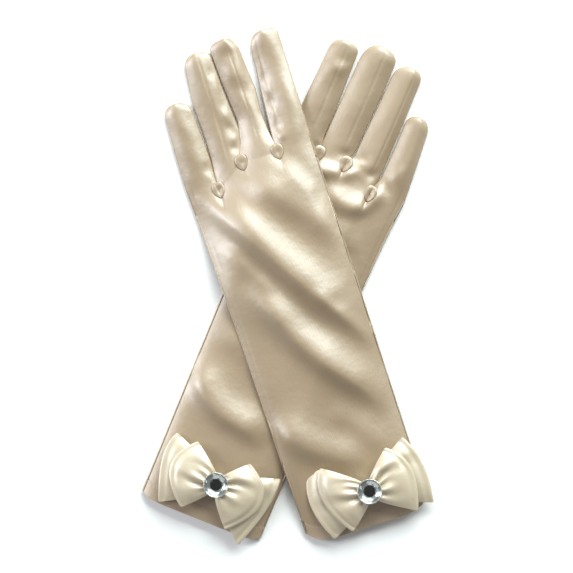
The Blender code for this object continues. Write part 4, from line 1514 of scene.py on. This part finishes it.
def stone(glove, settings):
    """A round brilliant: table, star, kite and girdle facets over a shallow pavilion."""
    node = f"{glove.name}_stone"
    low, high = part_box(node)
    centre = Vector(((low.x + high.x) / 2, (low.y + high.y) / 2, low.z))
    radius, height = (high.x - low.x) / 2, high.z - low.z
    rings = (
        (8, radius * 0.18, low.z + height * 0.03, 0.5),
        (16, radius * 0.62, low.z + height * 0.18, 0.0),
        (16, radius * 0.99, low.z + height * 0.36, 0.5),
        (16, radius * 0.99, low.z + height * 0.48, 0.5),
        (8, radius * 0.80, low.z + height * 0.78, 0.5),
        (8, radius * settings.table, high.z, 0.0),
    )
    made = faceted(node, rings, centre, finish_of("cut_clear_acrylic"))
    settle(made, glove, "clear_acrylic", node)


def stone_cup(glove):
    """A shallow pressed cup with a milled rim, its middle lacquered dark behind the stone."""
    node = f"{glove.name}_stone_cup"
    low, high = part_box(node)
    centre = Vector(((low.x + high.x) / 2, (low.y + high.y) / 2, low.z))
    radius = (high.x - low.x) / 2
    # dark is the painted reflection that shows through the middle of the stone
    foil, dark = finish_of("embossed_silvered_foil"), finish_of("brushed_dark_lacquer")
    steps, mills = 96, 24
    profile = (  # distance from the middle, height, how much of the milling shows
        (0.0010, low.z, 0.0),
        (radius * 0.90, low.z, 0.0),
        (radius * 1.00, low.z + 0.0004, 1.0),
        (radius * 1.02, high.z + 0.0002, 1.0),
        (radius * 0.99, high.z + 0.0006, 1.0),
        (radius * 0.945, high.z + 0.0002, 0.0),
        (radius * 0.90, low.z + 0.00095, 0.0),
        (radius * 0.45, low.z + 0.00050, 0.0),
        (0.0010, low.z + 0.00045, 0.0),
    )
    points, faces = [], []
    for r, z, milled in profile:
        for k in range(steps):
            angle = 2 * pi * k / steps
            wave = 1 + 0.012 * milled * cos(mills * angle)
            points.append((centre.x + r * wave * cos(angle), centre.y + r * wave * sin(angle), z))
    for ring in range(len(profile) - 1):
        for k in range(steps):
            a, b = ring * steps + k, ring * steps + (k + 1) % steps
            faces.append((a, b, b + steps, a + steps))
    top = (len(profile) - 1) * steps
    faces.append(list(range(steps))[::-1])
    faces.append(list(range(top, top + steps)))
    made = make_object(node, points, faces, foil)
    made.data.materials.append(dark)
    # the middle of the cup's floor takes the painted dark reflection
    for polygon in made.data.polygons:
        middle = polygon.center
        away = np.hypot(middle.x - centre.x, middle.y - centre.y)
        if middle.z > low.z + 0.0003 and away < radius * 0.42:
            polygon.material_index = 1
    settle(made, glove, "silvered_foil", node)


class GLOVES_OT_stitching(Operator):
    """Sews the visible stitches along each hem"""

    bl_idname = "gloves.stitching"
    bl_label = "Hem stitching"

    def execute(self, context):
        for name in ("right", "left"):
            glove = glove_of(name)
            settle(hem_stitches(glove), glove, "ivory_thread")
        return {"FINISHED"}


def hem_stitches(glove):
    """A row of short stitches just inside the hem's line, on the upper layer."""
    across = 4 * SECTOR_COLUMNS + 1
    line = skin_of(glove.name).points[(HEM_ROWS - 1) * across + np.arange(across)]
    run = np.concatenate([[0], np.cumsum(np.linalg.norm(np.diff(line, axis=0), axis=1))])
    points, faces = [], []
    start, sides, up = STITCH_MARGIN, 6, np.array((0, 0, 1))
    while start + STITCH_LENGTH < run[-1] - STITCH_MARGIN:
        places = (start, start + STITCH_LENGTH / 2, start + STITCH_LENGTH)
        foot, middle, head = (
            np.array([np.interp(place, run, line[:, axis]) for axis in range(3)]) for place in places
        )
        foot[2] -= 0.00005  # both ends sink into the cloth, and the middle stands over it
        head[2] -= 0.00005
        middle[2] += 0.00012
        heading = (head - foot) / np.linalg.norm(head - foot)
        sideways = np.cross(heading, up)
        sections = (
            (foot, 0.45),
            (mix(foot, middle, 0.4), 1.0),
            (middle, 1.1),
            (mix(middle, head, 0.6), 1.0),
            (head, 0.45),
        )
        first = len(points)
        for centre, grow in sections:
            for k in range(sides):
                angle = 2 * pi * k / sides
                points.append(centre + STITCH_RADIUS * grow * (sideways * cos(angle) + up * sin(angle)))
        for ring in range(len(sections) - 1):
            for k in range(sides):
                a, b = first + ring * sides + k, first + ring * sides + (k + 1) % sides
                faces.append((a, b, b + sides, a + sides))
        faces.append([first + k for k in reversed(range(sides))])
        faces.append([len(points) - sides + k for k in range(sides)])
        start += STITCH_PITCH
    thread = finish_of("spun_polyester_thread")
    return make_object(f"{glove.name}_hem_stitches", points, faces, thread)


class GLOVES_OT_stage(Operator):
    """Sets the pale floor, the soft studio lights and the camera"""

    bl_idname = "gloves.stage"
    bl_label = "Stage"

    def execute(self, context):
        settings = context.scene.glove_stage
        half = FLOOR_HALF
        corners = [(-half, -half, 0), (half, -half, 0), (half, half, 0), (-half, half, 0)]
        floor = make_object("floor", corners, [(0, 1, 2, 3)], finish_of("rolled_matt_paper"))
        world = bpy.data.worlds.new("studio_air")
        world.use_nodes = True
        world.node_tree.nodes["Background"].inputs["Color"].default_value = opaque(srgb("#FFFFFF"))
        world.node_tree.nodes["Background"].inputs["Strength"].default_value = AIR_STRENGTH
        context.scene.world = world
        low, high = (Vector(corner) for corner in CAD_BOX)
        middle = (low + high) / 2
        for name, place, width, height, power, tint in LIGHTS:
            data = bpy.data.lights.new(name, "AREA")
            data.shape, data.size, data.size_y = "RECTANGLE", width, height
            data.energy, data.color = power, srgb(tint)
            light = bpy.data.objects.new(name, data)
            light.location = middle + Vector(place)
            light.rotation_euler = (-Vector(place)).to_track_quat("-Z", "Y").to_euler()
            context.scene.collection.objects.link(light)
        data = bpy.data.cameras.new("camera")
        data.lens, data.sensor_width = settings.lens, 36.0
        distance = settings.view_width / 2 / (data.sensor_width / 2 / data.lens)
        data.clip_start, data.clip_end = distance * 0.1, distance * 10
        camera = bpy.data.objects.new("camera", data)
        camera.location = (*CAMERA_OVER, distance + high.z / 2)
        context.scene.collection.objects.link(camera)
        context.scene.camera = camera
        context.scene.view_settings.view_transform = "Standard"
        return {"FINISHED"}


OPERATORS = (
    GLOVES_OT_panels,
    GLOVES_OT_fingers,
    GLOVES_OT_gussets,
    GLOVES_OT_thumbs,
    GLOVES_OT_bows,
    GLOVES_OT_stones,
    GLOVES_OT_stitching,
    GLOVES_OT_stage,
)


class GLOVES_PT_sidebar(Panel):
    """Lists the sizes, the colours and the steps"""

    bl_label = "Satin opera gloves"
    bl_idname = "GLOVES_PT_sidebar"
    bl_space_type = "VIEW_3D"
    bl_region_type = "UI"
    bl_category = "Gloves"

    def draw(self, context):
        for name, group in SETTINGS.items():
            box = self.layout.box()
            for prop in group.__annotations__:
                box.prop(getattr(context.scene, name), prop)
        for operator in OPERATORS:
            self.layout.operator(operator.bl_idname)


def register():
    for cls in (*SETTINGS.values(), *OPERATORS, GLOVES_PT_sidebar):
        bpy.utils.register_class(cls)
    for name, group in SETTINGS.items():
        setattr(bpy.types.Scene, name, PointerProperty(type=group))


def unregister():
    for name in SETTINGS:
        delattr(bpy.types.Scene, name)
    for cls in reversed((*SETTINGS.values(), *OPERATORS, GLOVES_PT_sidebar)):
        bpy.utils.unregister_class(cls)


def main():
    register()
    for operator in OPERATORS:
        group, name = operator.bl_idname.split(".")
        getattr(getattr(bpy.ops, group), name)()


if __name__ == "__main__":
    main()
